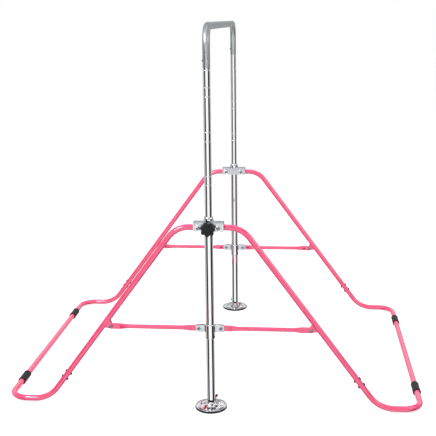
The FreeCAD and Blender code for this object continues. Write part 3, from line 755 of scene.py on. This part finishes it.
class GYMBAR_OT_pivot_bolts(bpy.types.Operator):
    """Leg pivot bolts: round discs, domed heads on one face and nuts on the other"""
    bl_idname = "gymbar.pivot_bolts"
    bl_label = "Leg pivot bolts"

    def execute(self, context):
        sizes = context.scene.gymbar_sizes
        face = (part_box("near_channel")[1].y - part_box("near_channel")[0].y) / 2
        disc, high = sizes.washer_radius / MM, 1.2
        discs, bolts = bmesh.new(), bmesh.new()
        for end in ENDS:
            for x in (-PIVOT_X, PIVOT_X):
                centre = Vector((x, POST_Y[end], PIVOT_Z))
                for way in (-1, 1):
                    lathe(discs, [(0, 0, 0), (disc, 0, 0), (disc, high * 0.6, 0.4),
                                  (disc - 0.8, high, 0.5), (9.2, high, 0.5), (8.6, high * 0.7, 0.4),
                                  (0, high * 0.7, 0)], stand(centre + Y * (way * face), Y * way), 56)
                    seat = centre + Y * (way * (face + high * 0.7 * MM))
                    shank(bolts, centre + Y * (way * (LEG_R + 0.3 * MM)), seat, 4 * MM)
                    if way < 0:
                        dome_head(bolts, seat, Y * way, sizes.head_radius, 4.0 * MM, socket=2.4 * MM)
                    else:
                        hex_nut(bolts, seat, Y * way, 14.6 * MM, 4.0 * MM)
        make_piece("pivot_discs", discs, "posts", "post chrome")
        piece = make_piece("pivot_bolt_set", bolts, "posts", "zinc with painted shade")
        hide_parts("pivot_bolts")
        return {"FINISHED"}


class GYMBAR_OT_star_knobs(bpy.types.Operator):
    """Lobed clamp knobs with a recessed cap and a skirt over the nut"""
    bl_idname = "gymbar.star_knobs"
    bl_label = "Star knobs"

    def execute(self, context):
        sizes = context.scene.gymbar_sizes
        outer, lobes = sizes.knob_radius / MM, sizes.knob_lobes
        samples = lobes * 20
        # distance out from the post's axis, share of the radius, share of the valley
        profile = [(27.2, 0.83, 0.55), (27.6, 0.90, 0.8), (28.6, 0.955, 0.95), (30.5, 0.985, 1.0),
                   (34.0, 0.997, 1.0), (38.5, 1.0, 1.0), (42.5, 0.985, 1.0), (45.2, 0.955, 1.0),
                   (47.2, 0.905, 0.92), (48.4, 0.83, 0.78), (48.9, 0.73, 0.55), (49.0, 0.62, 0.25)]
        for end, sign in ENDS.items():
            bm = bmesh.new()

            def around(out, radius):
                at = Vector((0, POST_Y[end] + sign * out * MM, PIVOT_Z))
                ring = []
                for k in range(samples):
                    a = 2 * math.pi * k / samples
                    r = radius(a) * MM
                    ring.append(at + X * (r * math.sin(a)) + Z * (r * math.cos(a)))
                return ring

            def lobed(size, valley):
                def radius(a):
                    dip = (1 - math.cos(lobes * (a - sizes.knob_turn))) / 2
                    return outer * size - sizes.knob_valley / MM * valley * dip ** 1.5
                return radius

            rings = [around(out, lambda a, r=r: r) for out, r in
                     ((42.2, 5.02), (25.9, 5.02), (25.7, 5.4), (25.7, 12.4), (26.1, 13.0),
                      (27.2, 13.2))]
            rings += [around(out, lobed(size, valley)) for out, size, valley in profile]
            rings += [around(out, lambda a, r=r: r) for out, r in
                      ((48.95, 11.6), (48.8, 11.0), (47.6, 10.5), (47.2, 9.9), (47.2, 8.4),
                       (47.7, 7.9), (48.0, 6.8), (48.2, 3.0))]
            loft(bm, rings)
            piece = make_piece(end + "_star_knob", bm, end + "_knob",
                               "knob plastic", sharp=50)
            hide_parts(end + "_knob")
        low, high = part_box("knob_nuts")
        nuts = bmesh.new()
        for end, sign in ENDS.items():
            start = POST_Y[end] + sign * KNOB_NUT_Y
            hex_nut(nuts, Vector((0, start, PIVOT_Z)), Y * sign, high.x - low.x, 6.9 * MM,
                    hole=5.06 * MM)
        piece = make_piece("knob_nut_set", nuts, "posts", "galvanised sheet")
        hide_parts("knob_nuts")
        return {"FINISHED"}


class GYMBAR_OT_runners(bpy.types.Operator):
    """Sliding runners: a sleeve with rolled lips, four welded ears and a lock screw"""
    bl_idname = "gymbar.runners"
    bl_label = "Runners"

    def execute(self, context):
        sizes = context.scene.gymbar_sizes
        for end in ENDS:
            y = POST_Y[end]
            low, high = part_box(end + "_runner_sleeve")
            base, top, wide = low.z / MM, high.z / MM, (high.x - low.x) / 2 / MM
            bm = bmesh.new()
            lathe(bm, [(17.2, base, 0.3), (wide - 0.9, base, 0.6), (wide + 0.4, base + 1.6, 1.2),
                       (wide, base + 5.0, 1.5), (wide, top - 4.0, 1.5),
                       (wide + 0.5, top - 1.6, 1.0), (wide - 0.4, top, 0.6), (17.2, top, 0.3)],
                  stand(Vector((0, y, 0)), Z), 72, loop=True)
            piece = make_piece(end + "_runner_tube", bm, end + "_runner",
                               "post chrome")
            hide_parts(end + "_runner_sleeve")
            low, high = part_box(end + "_runner_ears")
            reach, half = high.x / MM, (high.z - low.z) / 2 / MM
            ears, welds = bmesh.new(), bmesh.new()
            for side in (-1, 1):
                outline = eased([(16.9, -half, 0), (reach, -half, 3.0), (reach, half, 3.0),
                                 (16.9, half, 0)], loop=True, steps=6)
                points = [(side * p.x * MM, p.y * MM) for p in outline]
                for back in PLATE_BACKS:
                    place = Matrix.Translation((0, y + back * MM, RUNNER_Z)) @ UPRIGHT
                    plate(ears, points, place, PLATE_THICK * MM)
                for way in (-1, 1):
                    at = Vector((side * 18.0 * MM, y + way * 7.6 * MM, RUNNER_Z))
                    bead(welds, at - Z * 12 * MM, at + Z * 12 * MM, sizes.bead)
            piece = make_piece(end + "_runner_ear_plates", ears, end + "_runner",
                               "galvanised sheet")
            soften(piece, sizes.edge)
            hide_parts(end + "_runner_ears")
            # dark beads at the ear roots: weld scale, and painted shade between the ears and the sleeve
            make_piece(end + "_runner_welds_and_painted_shade", welds, end + "_runner", "weld scale with painted shade")
            screw, box = bmesh.new(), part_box(end + "_runner_lock_screw")
            spot = (box[0] + box[1]) / 2
            out = Vector((math.sin(LOCK_SCREW_TURN), -math.cos(LOCK_SCREW_TURN), 0))
            axis = Vector((0, y, spot.z))
            shank(screw, axis + out * 16.3 * MM, axis + out * 19 * MM, 3 * MM)
            dome_head(screw, axis + out * 18.9 * MM, out, 4.6 * MM, 2.8 * MM, socket=1.7 * MM)
            piece = make_piece(end + "_lock_screw", screw, end + "_runner",
                               "dark screw")
            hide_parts(end + "_runner_lock_screw")
        return {"FINISHED"}


class GYMBAR_OT_braces(bpy.types.Operator):
    """Braces: round tube pressed flat and creased at both ends, with riveted tips"""
    bl_idname = "gymbar.braces"
    bl_label = "Braces"

    def execute(self, context):
        nose = [(-11 * math.sin(a), 4.0, max(1.2, 11 * math.cos(a)), 7)
                for a in (math.radians(d) for d in (84, 72, 58, 44, 30, 15, 0))]
        # distance from the pin, half thickness, half height, squareness
        press = nose + [(12, 4.0, 11.0, 7), (22, 4.0, 11.0, 7), (29, 4.0, 11.0, 7),
                        (31.0, 3.9, 11.1, 6.5), (32.2, 3.35, 11.35, 6), (33.4, 3.35, 11.35, 5.5),
                        (34.8, 4.1, 11.1, 5), (39, 4.7, 10.7, 4), (45, 5.7, 10.0, 3.2),
                        (51, 6.8, 9.2, 2.5), (57, 7.6, 8.4, 2.15), (63, 8.0, 8.0, 2), (75, 8.0, 8.0, 2)]
        for end in ENDS:
            for name, side in SIDES.items():
                y = POST_Y[end]
                inner, outer = side * RUNNER_X, side * TAB_X
                stations = [(inner + side * d * MM, *rest) for d, *rest in press]
                stations += [(outer - side * d * MM, *rest) for d, *rest in reversed(press)]
                bm = bmesh.new()
                loft(bm, [squared_ring(Vector((x, y, RUNNER_Z)), Y * hy * MM, Z * hz * MM, power)
                          for x, hy, hz, power in stations])
                brace = end + "_" + name + "_brace"
                piece = make_piece(brace + "_tube", bm, brace, "gloss paint")
                holes = bmesh.new()
                for x in (inner, outer):
                    lathe(holes, [(0, -9, 0), (4.05, -9, 0), (4.05, 9, 0), (0, 9, 0)],
                          stand(Vector((x, y, RUNNER_Z)), Y), 32)
                carve(piece, holes)
                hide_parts(brace)
                rivets, way = bmesh.new(), -ENDS[end]
                for x in (inner + side * RIVET_BACK, outer - side * RIVET_BACK):
                    at = Vector((x, y, RUNNER_Z))
                    shank(rivets, at - Y * RIVET_SEAT, at + Y * RIVET_SEAT, 2.5 * MM)
                    dome_head(rivets, at + Y * (way * RIVET_SEAT), Y * way, 4.0 * MM, 1.7 * MM)
                piece = make_piece(brace + "_rivet_heads", rivets, brace,
                                   "dark screw")
                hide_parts(brace + "_rivets")
        return {"FINISHED"}


def pin_set(bm, x, y):
    """Brace pin through two plates: domed head, shank, nut and threaded end."""
    at = Vector((x, y, RUNNER_Z))
    dome_head(bm, at - Y * PLATE_FACE, -Y, 6.5 * MM, 3.5 * MM, socket=2.1 * MM)
    shank(bm, at - Y * 7.05 * MM, at + Y * 12 * MM, 4 * MM, thread=True)
    hex_nut(bm, at + Y * PLATE_FACE, Y, 14 * MM, 4.3 * MM, hole=3.9 * MM)


class GYMBAR_OT_brace_pins(bpy.types.Operator):
    """Pins at both ends of every brace"""
    bl_idname = "gymbar.brace_pins"
    bl_label = "Brace pins"

    def execute(self, context):
        for end in ENDS:
            bm = bmesh.new()
            for side in SIDES.values():
                pin_set(bm, side * RUNNER_X, POST_Y[end])
            piece = make_piece(end + "_runner_pin_set", bm, end + "_runner",
                               "zinc with painted shade")
            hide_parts(end + "_runner_pins")
        for name, side in SIDES.items():
            bm = bmesh.new()
            for end in ENDS:
                pin_set(bm, side * TAB_X, POST_Y[end])
            piece = make_piece(name + "_tab_pin_set", bm, name + "_legs",
                               "zinc with painted shade")
            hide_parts(name + "_tab_pins")
        return {"FINISHED"}


class GYMBAR_OT_tabs(bpy.types.Operator):
    """Pointed plates welded to the legs, with their weld beads"""
    bl_idname = "gymbar.tabs"
    bl_label = "Leg tabs"

    def execute(self, context):
        sizes = context.scene.gymbar_sizes
        for name, side in SIDES.items():
            inward, along = leg_inward(side), leg_down(side)
            plates, welds = bmesh.new(), bmesh.new()
            for end in ENDS:
                pin = Vector((side * TAB_X, POST_Y[end], RUNNER_Z))
                root = pin - inward * 25 * MM
                turn = Matrix((along, inward, Y * side)).transposed().to_4x4()
                outline = eased([(-19, 8.4, 0), (-9, 25, 2.5), (-4, 34, 2.5), (4, 34, 2.5),
                                 (9, 25, 2.5), (19, 8.4, 0)], steps=5)
                points = [(p.x * MM, p.y * MM) for p in outline]
                for back in PLATE_BACKS:
                    start = root + Y * ((back if side > 0 else back + PLATE_THICK) * MM)
                    plate(plates, points, Matrix.Translation(start) @ turn, PLATE_THICK * MM)
                for way in (-1, 1):
                    at = root + inward * 8.7 * MM + Y * (way * 7.3 * MM)
                    bead(welds, at - along * 18 * MM, at + along * 18 * MM, sizes.bead)
            piece = make_piece(name + "_tab_plates", plates, name + "_legs",
                               "gloss paint")
            soften(piece, sizes.edge)
            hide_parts(name + "_tabs")
            make_piece(name + "_tab_welds", welds, name + "_legs", "gloss paint")
        return {"FINISHED"}


class GYMBAR_OT_splices(bpy.types.Operator):
    """Splices in the legs: bolts with domed heads, nuts, and the lip at each seam"""
    bl_idname = "gymbar.splices"
    bl_label = "Leg splices"

    def execute(self, context):
        for name, side in SIDES.items():
            inward, along = leg_inward(side), leg_down(side)
            bolts, lips = bmesh.new(), bmesh.new()
            for y in POST_Y.values():
                for back in (SEAM_BACK + 21, SEAM_BACK + 48):
                    at = leg_point(side, y, back * MM)
                    shank(bolts, at - inward * 11 * MM, at + inward * 15 * MM, 3 * MM, thread=True)
                    dome_head(bolts, at - inward * 10.4 * MM, -inward, 5.5 * MM, 3.8 * MM,
                              socket=1.9 * MM)
                    hex_nut(bolts, at + inward * 10.4 * MM, inward, 11 * MM, 4.2 * MM,
                            hole=2.9 * MM)
                seam = leg_point(side, y, SEAM_BACK * MM)
                lathe(lips, [(10.9, -0.9, 0), (11.3, -0.5, 0.2), (11.05, -0.05, 0.1),
                             (11.3, 0.4, 0.2), (10.9, 0.8, 0)], stand(seam, along), 64, loop=True)
            piece = make_piece(name + "_splice_bolt_set", bolts, name + "_legs",
                               "dark screw")
            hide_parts(name + "_splice_bolts")
            make_piece(name + "_splice_lips", lips, name + "_legs", "gloss paint")
        screws = bmesh.new()
        low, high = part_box("joint_screws")
        for y in POST_Y.values():
            at = Vector((0, y, (low.z + high.z) / 2))
            shank(screws, at - X * 10.6 * MM, at - X * 13.6 * MM, 2.5 * MM)
            dome_head(screws, at - X * 13.0 * MM, -X, 4.5 * MM, 2.7 * MM, socket=1.6 * MM)
        piece = make_piece("joint_screw_heads", screws, "bar", "dark screw")
        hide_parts("joint_screws")
        return {"FINISHED"}


class GYMBAR_OT_rubber_sleeves(bpy.types.Operator):
    """Rubber sleeves on the floor tubes, pressed flat where they stand on the floor"""
    bl_idname = "gymbar.rubber_sleeves"
    bl_label = "Rubber sleeves"

    def execute(self, context):
        lip = context.scene.gymbar_sizes.sleeve_lip / MM
        for name in SIDES:
            low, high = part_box(name + "_floor_sleeves")
            centre_x, radius = (low.x + high.x) / 2, (high.x - low.x) / 2 / MM
            half = (high.y - SLEEVE_Y) / MM
            bm = bmesh.new()
            for way in (-1, 1):
                lathe(bm, [(11.0, -half + 0.6, 0.4), (radius - 1.6, -half, 1.0),
                           (radius, -half + 1.4, 1.2), (radius, -half + lip, 0.8),
                           (radius - 0.75, -half + lip + 1.2, 0.8),
                           (radius - 0.75, half - lip - 1.2, 0.8),
                           (radius, half - lip, 0.8), (radius, half - 1.4, 1.2),
                           (radius - 1.6, half, 1.0), (11.0, half - 0.6, 0.4)],
                      stand(Vector((centre_x, way * SLEEVE_Y, FLOOR_TUBE_Z)), Y), 72, loop=True)
            for vert in bm.verts:
                vert.co.z = max(vert.co.z, 0.0)
            piece = make_piece(name + "_rubber_sleeves", bm, name + "_legs",
                               "rubber", sharp=60)
            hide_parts(name + "_floor_sleeves")
        return {"FINISHED"}


FOOT_OUTLINE = [(58.2, 6.05, 0.2), (58.7, 6.5, 0.3), (58.7, 8.6, 0.6), (57.2, 9.5, 0.8),
                (55.4, 8.7, 0.8), (52.5, 9.3, 1.5), (49.8, 10.7, 1.2), (46.0, 11.0, 1.0),
                (43.5, 10.1, 1.0), (31.0, 10.5, 3.0), (23.5, 13.4, 3.0), (18.6, 20.6, 2.6),
                (14.7, 23.4, 1.0), (14.7, 24.7, 0.4), (12.6, 25.5, 0.7), (8.4, 25.5, 0.6)]


FOOT_UNDERSIDE = 6                  # eased points before the rim's upper corner
# slots through the saucer: distance out, half the length between end arcs, arc radius, in mm
SLOT_OUT, SLOT_HALF, SLOT_R = 38, 7, 2.5
HOLE_OUT, HOLE_R = 37, 3.5          # small holes between the slots, in mm


def foot_height(radius):
    """Height of the saucer's upper face, in millimetres, at a radius."""
    points = sorted((p.x, p.y) for p in eased(FOOT_OUTLINE)[FOOT_UNDERSIDE:])
    for (r0, h0), (r1, h1) in zip(points, points[1:]):
        if r0 <= radius <= r1:
            return h0 + (h1 - h0) * (radius - r0) / max(1e-6, r1 - r0)
    return points[-1][1]


# ends of the enamel strip, in mm from the foot's axis
MARK_ENDS = {"near": ((-18.5, -16), (-21.5, -42)), "far": ((16.5, 6), (24, -9))}


def lever_way(end):
    """Level unit vector from the foot's axis towards its lever."""
    pivot = Vector(JOINTS[end + "_foot_lever_flip"]["pos_m"])
    way = pivot - Vector((0, POST_Y[end], pivot.z))
    return way.normalized(), pivot


class GYMBAR_OT_feet(bpy.types.Operator):
    """Chromed saucer feet with slots, holes, a ball socket, lever lugs, and a treaded pad
    whose lip wraps the rim"""
    bl_idname = "gymbar.feet"
    bl_label = "Feet"

    def execute(self, context):
        for end in ENDS:
            y = POST_Y[end]
            place = stand(Vector((0, y, 0)), Z)
            bm = bmesh.new()
            socket = [(8.4 * math.cos(a), 18 + 8.4 * math.sin(a), 0)
                      for a in (math.radians(d) for d in (32, 16, 0, -18, -36, -54, -72))]
            lathe(bm, [(0, 6.05, 0)] + FOOT_OUTLINE + [(7.4, 24.4, 0.4)] + socket
                  + [(0, 9.6, 0)], place, 112)
            piece = make_piece(end + "_foot_saucer", bm, end + "_foot",
                               "disc chrome", sharp=40)
            cutter = bmesh.new()
            for k in range(3):
                at = math.radians(50 + 120 * k)
                out, across = Vector((math.cos(at), math.sin(at), 0)), Vector(
                    (-math.sin(at), math.cos(at), 0))
                corners = []
                for step in range(24):
                    a = 2 * math.pi * step / 24
                    shift = SLOT_HALF if math.cos(a) > 0 else -SLOT_HALF
                    corners.append(out * (SLOT_OUT + SLOT_R * math.sin(a)) * MM
                                   + across * (shift + SLOT_R * math.cos(a)) * MM
                                   + Vector((0, y, 0)))
                loft(cutter, [[c + Z * 5 * MM for c in corners],
                              [c + Z * 20 * MM for c in corners]])
                at = math.radians(-10 + 120 * k)
                spot = Vector((HOLE_OUT * MM * math.cos(at),
                               y + HOLE_OUT * MM * math.sin(at), 5 * MM))
                lathe(cutter, [(0, 0, 0), (HOLE_R, 0, 0), (HOLE_R, 15, 0), (0, 15, 0)],
                      stand(spot, Z), 28)
            carve(piece, cutter)
            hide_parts(end + "_foot_disc")
            lugs = bmesh.new()
            way, pivot = lever_way(end)
            across = Z.cross(way)
            turn = Matrix((way, Z, across)).transposed()
            outline = [(-3.2, -8.0), (3.2, -8.0)] + [
                (3.2 * math.cos(a), 3.2 * math.sin(a)) for a in
                (math.radians(d) for d in range(0, 181, 15))]
            points = [(a * MM, b * MM) for a, b in outline]
            for back in (-6.5, 4.5):
                start = pivot + across * (back * MM)
                plate(lugs, points, Matrix.Translation(start) @ turn.to_4x4(), 2.0 * MM)
            piece = make_piece(end + "_foot_lugs", lugs, end + "_foot",
                               "zinc with painted shade")
            soften(piece, 0.3 * MM)
            pad, tread = bmesh.new(), []
            for r in (8, 18, 28, 38, 48):
                tread += [(r, 0.0, 0.3), (r + 0.5, 1.1, 0.3), (r + 2.8, 1.1, 0.3),
                          (r + 3.3, 0.0, 0.3)]
            lathe(pad, [(0, 0, 0)] + tread + [(58.0, 0, 1.0), (60.0, 1.4, 1.0), (60.0, 8.2, 0.6),
                                              (59.5, 9.0, 0.4), (58.8, 8.7, 0.3),
                                              (58.8, 6.0, 0), (0, 6.0, 0)],
                  place, 96)
            piece = make_piece(end + "_foot_tread", pad, end + "_foot", "rubber",
                               sharp=40)
            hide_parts(end + "_foot_pad")
        return {"FINISHED"}


class GYMBAR_OT_foot_marks(bpy.types.Operator):
    """Enamel strip and dot on each foot, and the dipped grip on each foot lever"""
    bl_idname = "gymbar.foot_marks"
    bl_label = "Foot marks and lever grips"

    def execute(self, context):
        sizes = context.scene.gymbar_sizes
        for end in ENDS:
            y = POST_Y[end]
            first, last = (Vector((*point, 0)) for point in MARK_ENDS[end])
            run = last - first
            across = Z.cross(run).normalized()
            bm, rings = bmesh.new(), []
            for s in range(25):
                t = s / 24
                half = sizes.mark_width / 2 * min(1.0, math.sqrt(
                    max(0.02, 1 - (abs(2 * t - 1) ** 9))))
                spot = first + run * t
                base = Vector((0, y, 0)) + spot * MM
                level = foot_height(spot.length) * MM
                rings.append([base + across * (half * c) + Z * (level + lift * MM)
                              for c, lift in ((-1.0, -0.8), (-1.0, 1.2), (-0.82, 1.9),
                                              (0.0, 2.1), (0.82, 1.9), (1.0, 1.2), (1.0, -0.8))])
            loft(bm, rings)
            spot = first + run * 0.4 + across * 9 * (1 if across.x > 0 else -1)
            dome_head(bm, Vector((0, y, foot_height(spot.length) * MM - 0.3 * MM)) + spot * MM,
                      Z, 2.0 * MM, 1.8 * MM)
            make_piece(end + "_foot_mark", bm, end + "_foot", "mark enamel")

            way, pivot = lever_way(end)
            rise = math.radians(25)
            along = way * math.cos(rise) + Z * math.sin(rise)
            up = Z * math.cos(rise) - way * math.sin(rise)
            side = Z.cross(way)
            bm, rings = bmesh.new(), []
            for s in range(17):
                t = s / 16
                swell = max(0.12, 1 - abs(2 * t - 1) ** 5) ** 0.5
                centre = pivot + along * (18.2 + 10.6 * t) * MM
                rings.append(squared_ring(centre, side * (5.1 * swell * MM),
                                          up * (3.1 * swell * MM), 4, count=32))
            loft(bm, rings)
            make_piece(end + "_lever_grip", bm, end + "_foot_lever", "dipped grip",
                       sharp=50)
        return {"FINISHED"}


FLOOR_HALF = 30                             # the floor reaches this far each way, in m
FLOOR_FACES = (-0.03, -0.0004)              # its under and upper face, clear of the pads
CAMERA_AT = (0.3325, -3.5500, 1.4242)
CAMERA_SHIFT = (-0.0067, -0.0018)


def grey_ramp(board, factor, stops, blue):
    """Colour ramp of greys given as (place, level), with blue a trace off neutral."""
    ramp = board.add("ShaderNodeValToRGB", {"Fac": factor})
    made = ramp.color_ramp.elements
    while len(made) > 1:
        made.remove(made[-1])
    for k, (place, level) in enumerate(stops):
        stop = made[0] if k == 0 else made.new(place)
        stop.position, stop.color = place, (level, level, level * blue, 1.0)
    return ramp.outputs["Color"]


class GYMBAR_OT_stage(bpy.types.Operator):
    """Pale floor, soft studio light and the camera"""
    bl_idname = "gymbar.stage"
    bl_label = "Stage"

    def execute(self, context):
        stage = context.scene.gymbar_stage
        bm, r = bmesh.new(), FLOOR_HALF
        loft(bm, [[Vector((x, y, h)) for x, y in ((-r, -r), (r, -r), (r, r), (-r, r))]
                  for h in FLOOR_FACES])
        floor = new_object("studio_floor", bm)
        floor.visible_glossy = False
        board, shader = new_finish("floor vinyl")
        where = board.add("ShaderNodeTexCoord").outputs["Object"]
        soft = board.noise(where, 3.0, 3.0)
        tint = board.blend(soft, rgba(stage.floor), rgba([c * 0.985 for c in stage.floor]))
        join(board, shader, tint, board.remap(soft, 0.3, 0.7, 0.75, 0.85), soft, 0.02, 0.0005)
        glow = board.math("MULTIPLY", board.add("ShaderNodeLightPath").outputs["Is Camera Ray"],
                          stage.floor_glow)
        shader.inputs["Emission Color"].default_value = rgba(stage.surround)
        board.tree.links.new(glow, shader.inputs["Emission Strength"])
        floor.data.materials.append(bpy.data.materials["floor vinyl"])
        self.build_world(context, stage)

        for name, at, aim, size, power in (
                ("key_box", (-1.9, -3.0, 3.1), (0, 0, 0.6), (1.1, 1.1), stage.key),
                ("top_box", (0.3, 0.2, 3.6), (0, 0, 0.5), (1.3, 2.4), stage.key),
                ("fill_box", (2.9, -1.6, 2.0), (0, 0, 0.6), (1.2, 1.8), stage.fill)):
            data = bpy.data.lights.new(name, "AREA")
            data.shape, data.size, data.size_y = "RECTANGLE", *size
            data.energy = power
            lamp = bpy.data.objects.new(name, data)
            lamp.visible_glossy = name != "top_box"
            lamp.matrix_world = stand(Vector(at), Vector(at) - Vector(aim))
            context.scene.collection.objects.link(lamp)

        data = bpy.data.cameras.new("camera")
        data.sensor_width, data.lens = 36.0, stage.lens
        data.shift_x, data.shift_y = CAMERA_SHIFT
        data.clip_start, data.clip_end = 0.05, 100.0
        camera = bpy.data.objects.new("camera", data)
        yaw, pitch, roll = stage.camera_yaw, stage.camera_pitch, stage.camera_roll
        ahead = Vector((-math.sin(yaw) * math.cos(pitch), math.cos(yaw) * math.cos(pitch),
                        -math.sin(pitch)))
        level = Vector((math.cos(yaw), math.sin(yaw), 0))
        up = level.cross(ahead)
        right = level * math.cos(roll) + up * math.sin(roll)
        top = up * math.cos(roll) - level * math.sin(roll)
        turn = Matrix((right, top, -ahead)).transposed().to_4x4()
        camera.matrix_world = Matrix.Translation(CAMERA_AT) @ turn
        context.scene.collection.objects.link(camera)
        context.scene.camera = camera
        context.scene.view_settings.view_transform = "Standard"
        return {"FINISHED"}

    def build_world(self, context, stage):
        """Even pale light, with darker panels that only reflections see."""
        world = bpy.data.worlds.new("studio")
        context.scene.world = world
        world.use_nodes = True
        board = Board(world.node_tree)
        world.node_tree.nodes.clear()
        where = board.add("ShaderNodeTexCoord").outputs["Generated"]
        parts = board.add("ShaderNodeSeparateXYZ", {0: where}).outputs
        turn = board.math("ARCTAN2", parts["X"], board.math("MULTIPLY", parts["Y"], -1.0))
        around = board.math("ADD", board.math("DIVIDE", turn, 2 * math.pi), 0.5)
        # panels round the horizon, by their bearing in degrees
        bands = ((-180, 0.52), (-120, 0.62), (-90, 0.55), (-68, 0.42), (-62, 0.0),
                 (-29, 0.0), (-25, 1.0), (44, 1.0), (48, 0.0), (86, 0.0), (92, 0.22),
                 (125, 0.45), (180, 0.52))
        walls = grey_ramp(board, around,
                          [((degrees + 180) / 360, level) for degrees, level in bands], 1.01)
        # overhead: a grey wall, a pale ring, a dark ring, then the ceiling
        ceiling = grey_ramp(board, parts["Z"],
                            ((0.05, 0.30), (0.25, 0.34), (0.38, 0.86), (0.54, 0.84),
                             (0.62, 0.05), (0.78, 0.05), (0.87, 0.78)), 1.02)
        seen = board.blend(board.remap(parts["Z"], 0.0, 0.08, 0.0, 1.0), walls, ceiling)
        path = board.add("ShaderNodeLightPath").outputs
        plain = board.add("ShaderNodeBackground", {"Color": rgba(stage.surround),
                                                   "Strength": stage.sky})
        shiny = board.add("ShaderNodeBackground", {"Color": seen, "Strength": 1.2})
        beyond = board.add("ShaderNodeBackground", {"Color": rgba(stage.surround),
                                                    "Strength": 1.0})
        mixed = board.add("ShaderNodeMixShader", {0: path["Is Glossy Ray"],
                                                  1: plain.outputs[0], 2: shiny.outputs[0]})
        final = board.add("ShaderNodeMixShader", {0: path["Is Camera Ray"],
                                                  1: mixed.outputs[0], 2: beyond.outputs[0]})
        board.add("ShaderNodeOutputWorld", {"Surface": final.outputs[0]})


class GYMBAR_PT_panel(bpy.types.Panel):
    """Operators and settings of the gymnastics bar"""
    bl_label = "Gymnastics bar"
    bl_idname = "GYMBAR_PT_panel"
    bl_space_type = "VIEW_3D"
    bl_region_type = "UI"
    bl_category = "Gym Bar"

    def draw(self, context):
        column = self.layout.column(align=True)
        for operator in OPERATORS:
            column.operator(operator.bl_idname)
        for title, group in (("Colours", context.scene.gymbar_colours),
                             ("Sizes", context.scene.gymbar_sizes),
                             ("Stage", context.scene.gymbar_stage)):
            box = self.layout.box()
            box.label(text=title)
            for key in group.__annotations__:
                box.prop(group, key)


OPERATORS = (GYMBAR_OT_finishes, GYMBAR_OT_tubes, GYMBAR_OT_channels, GYMBAR_OT_collars,
             GYMBAR_OT_pivot_bolts, GYMBAR_OT_star_knobs, GYMBAR_OT_runners, GYMBAR_OT_braces,
             GYMBAR_OT_brace_pins, GYMBAR_OT_tabs, GYMBAR_OT_splices, GYMBAR_OT_rubber_sleeves,
             GYMBAR_OT_feet, GYMBAR_OT_foot_marks, GYMBAR_OT_stage)
CLASSES = (GymBarColours, GymBarSizes, GymBarStage) + OPERATORS + (GYMBAR_PT_panel,)


def register():
    for cls in CLASSES:
        bpy.utils.register_class(cls)
    scene = bpy.types.Scene
    scene.gymbar_colours = PointerProperty(type=GymBarColours)
    scene.gymbar_sizes = PointerProperty(type=GymBarSizes)
    scene.gymbar_stage = PointerProperty(type=GymBarStage)


def unregister():
    del bpy.types.Scene.gymbar_stage
    del bpy.types.Scene.gymbar_sizes
    del bpy.types.Scene.gymbar_colours
    for cls in reversed(CLASSES):
        bpy.utils.unregister_class(cls)


def main():
    register()
    bpy.ops.gymbar.finishes()
    bpy.ops.gymbar.tubes()
    bpy.ops.gymbar.channels()
    bpy.ops.gymbar.collars()
    bpy.ops.gymbar.pivot_bolts()
    bpy.ops.gymbar.star_knobs()
    bpy.ops.gymbar.runners()
    bpy.ops.gymbar.braces()
    bpy.ops.gymbar.brace_pins()
    bpy.ops.gymbar.tabs()
    bpy.ops.gymbar.splices()
    bpy.ops.gymbar.rubber_sleeves()
    bpy.ops.gymbar.feet()
    bpy.ops.gymbar.foot_marks()
    bpy.ops.gymbar.stage()


if __name__ == "__main__":
    main()
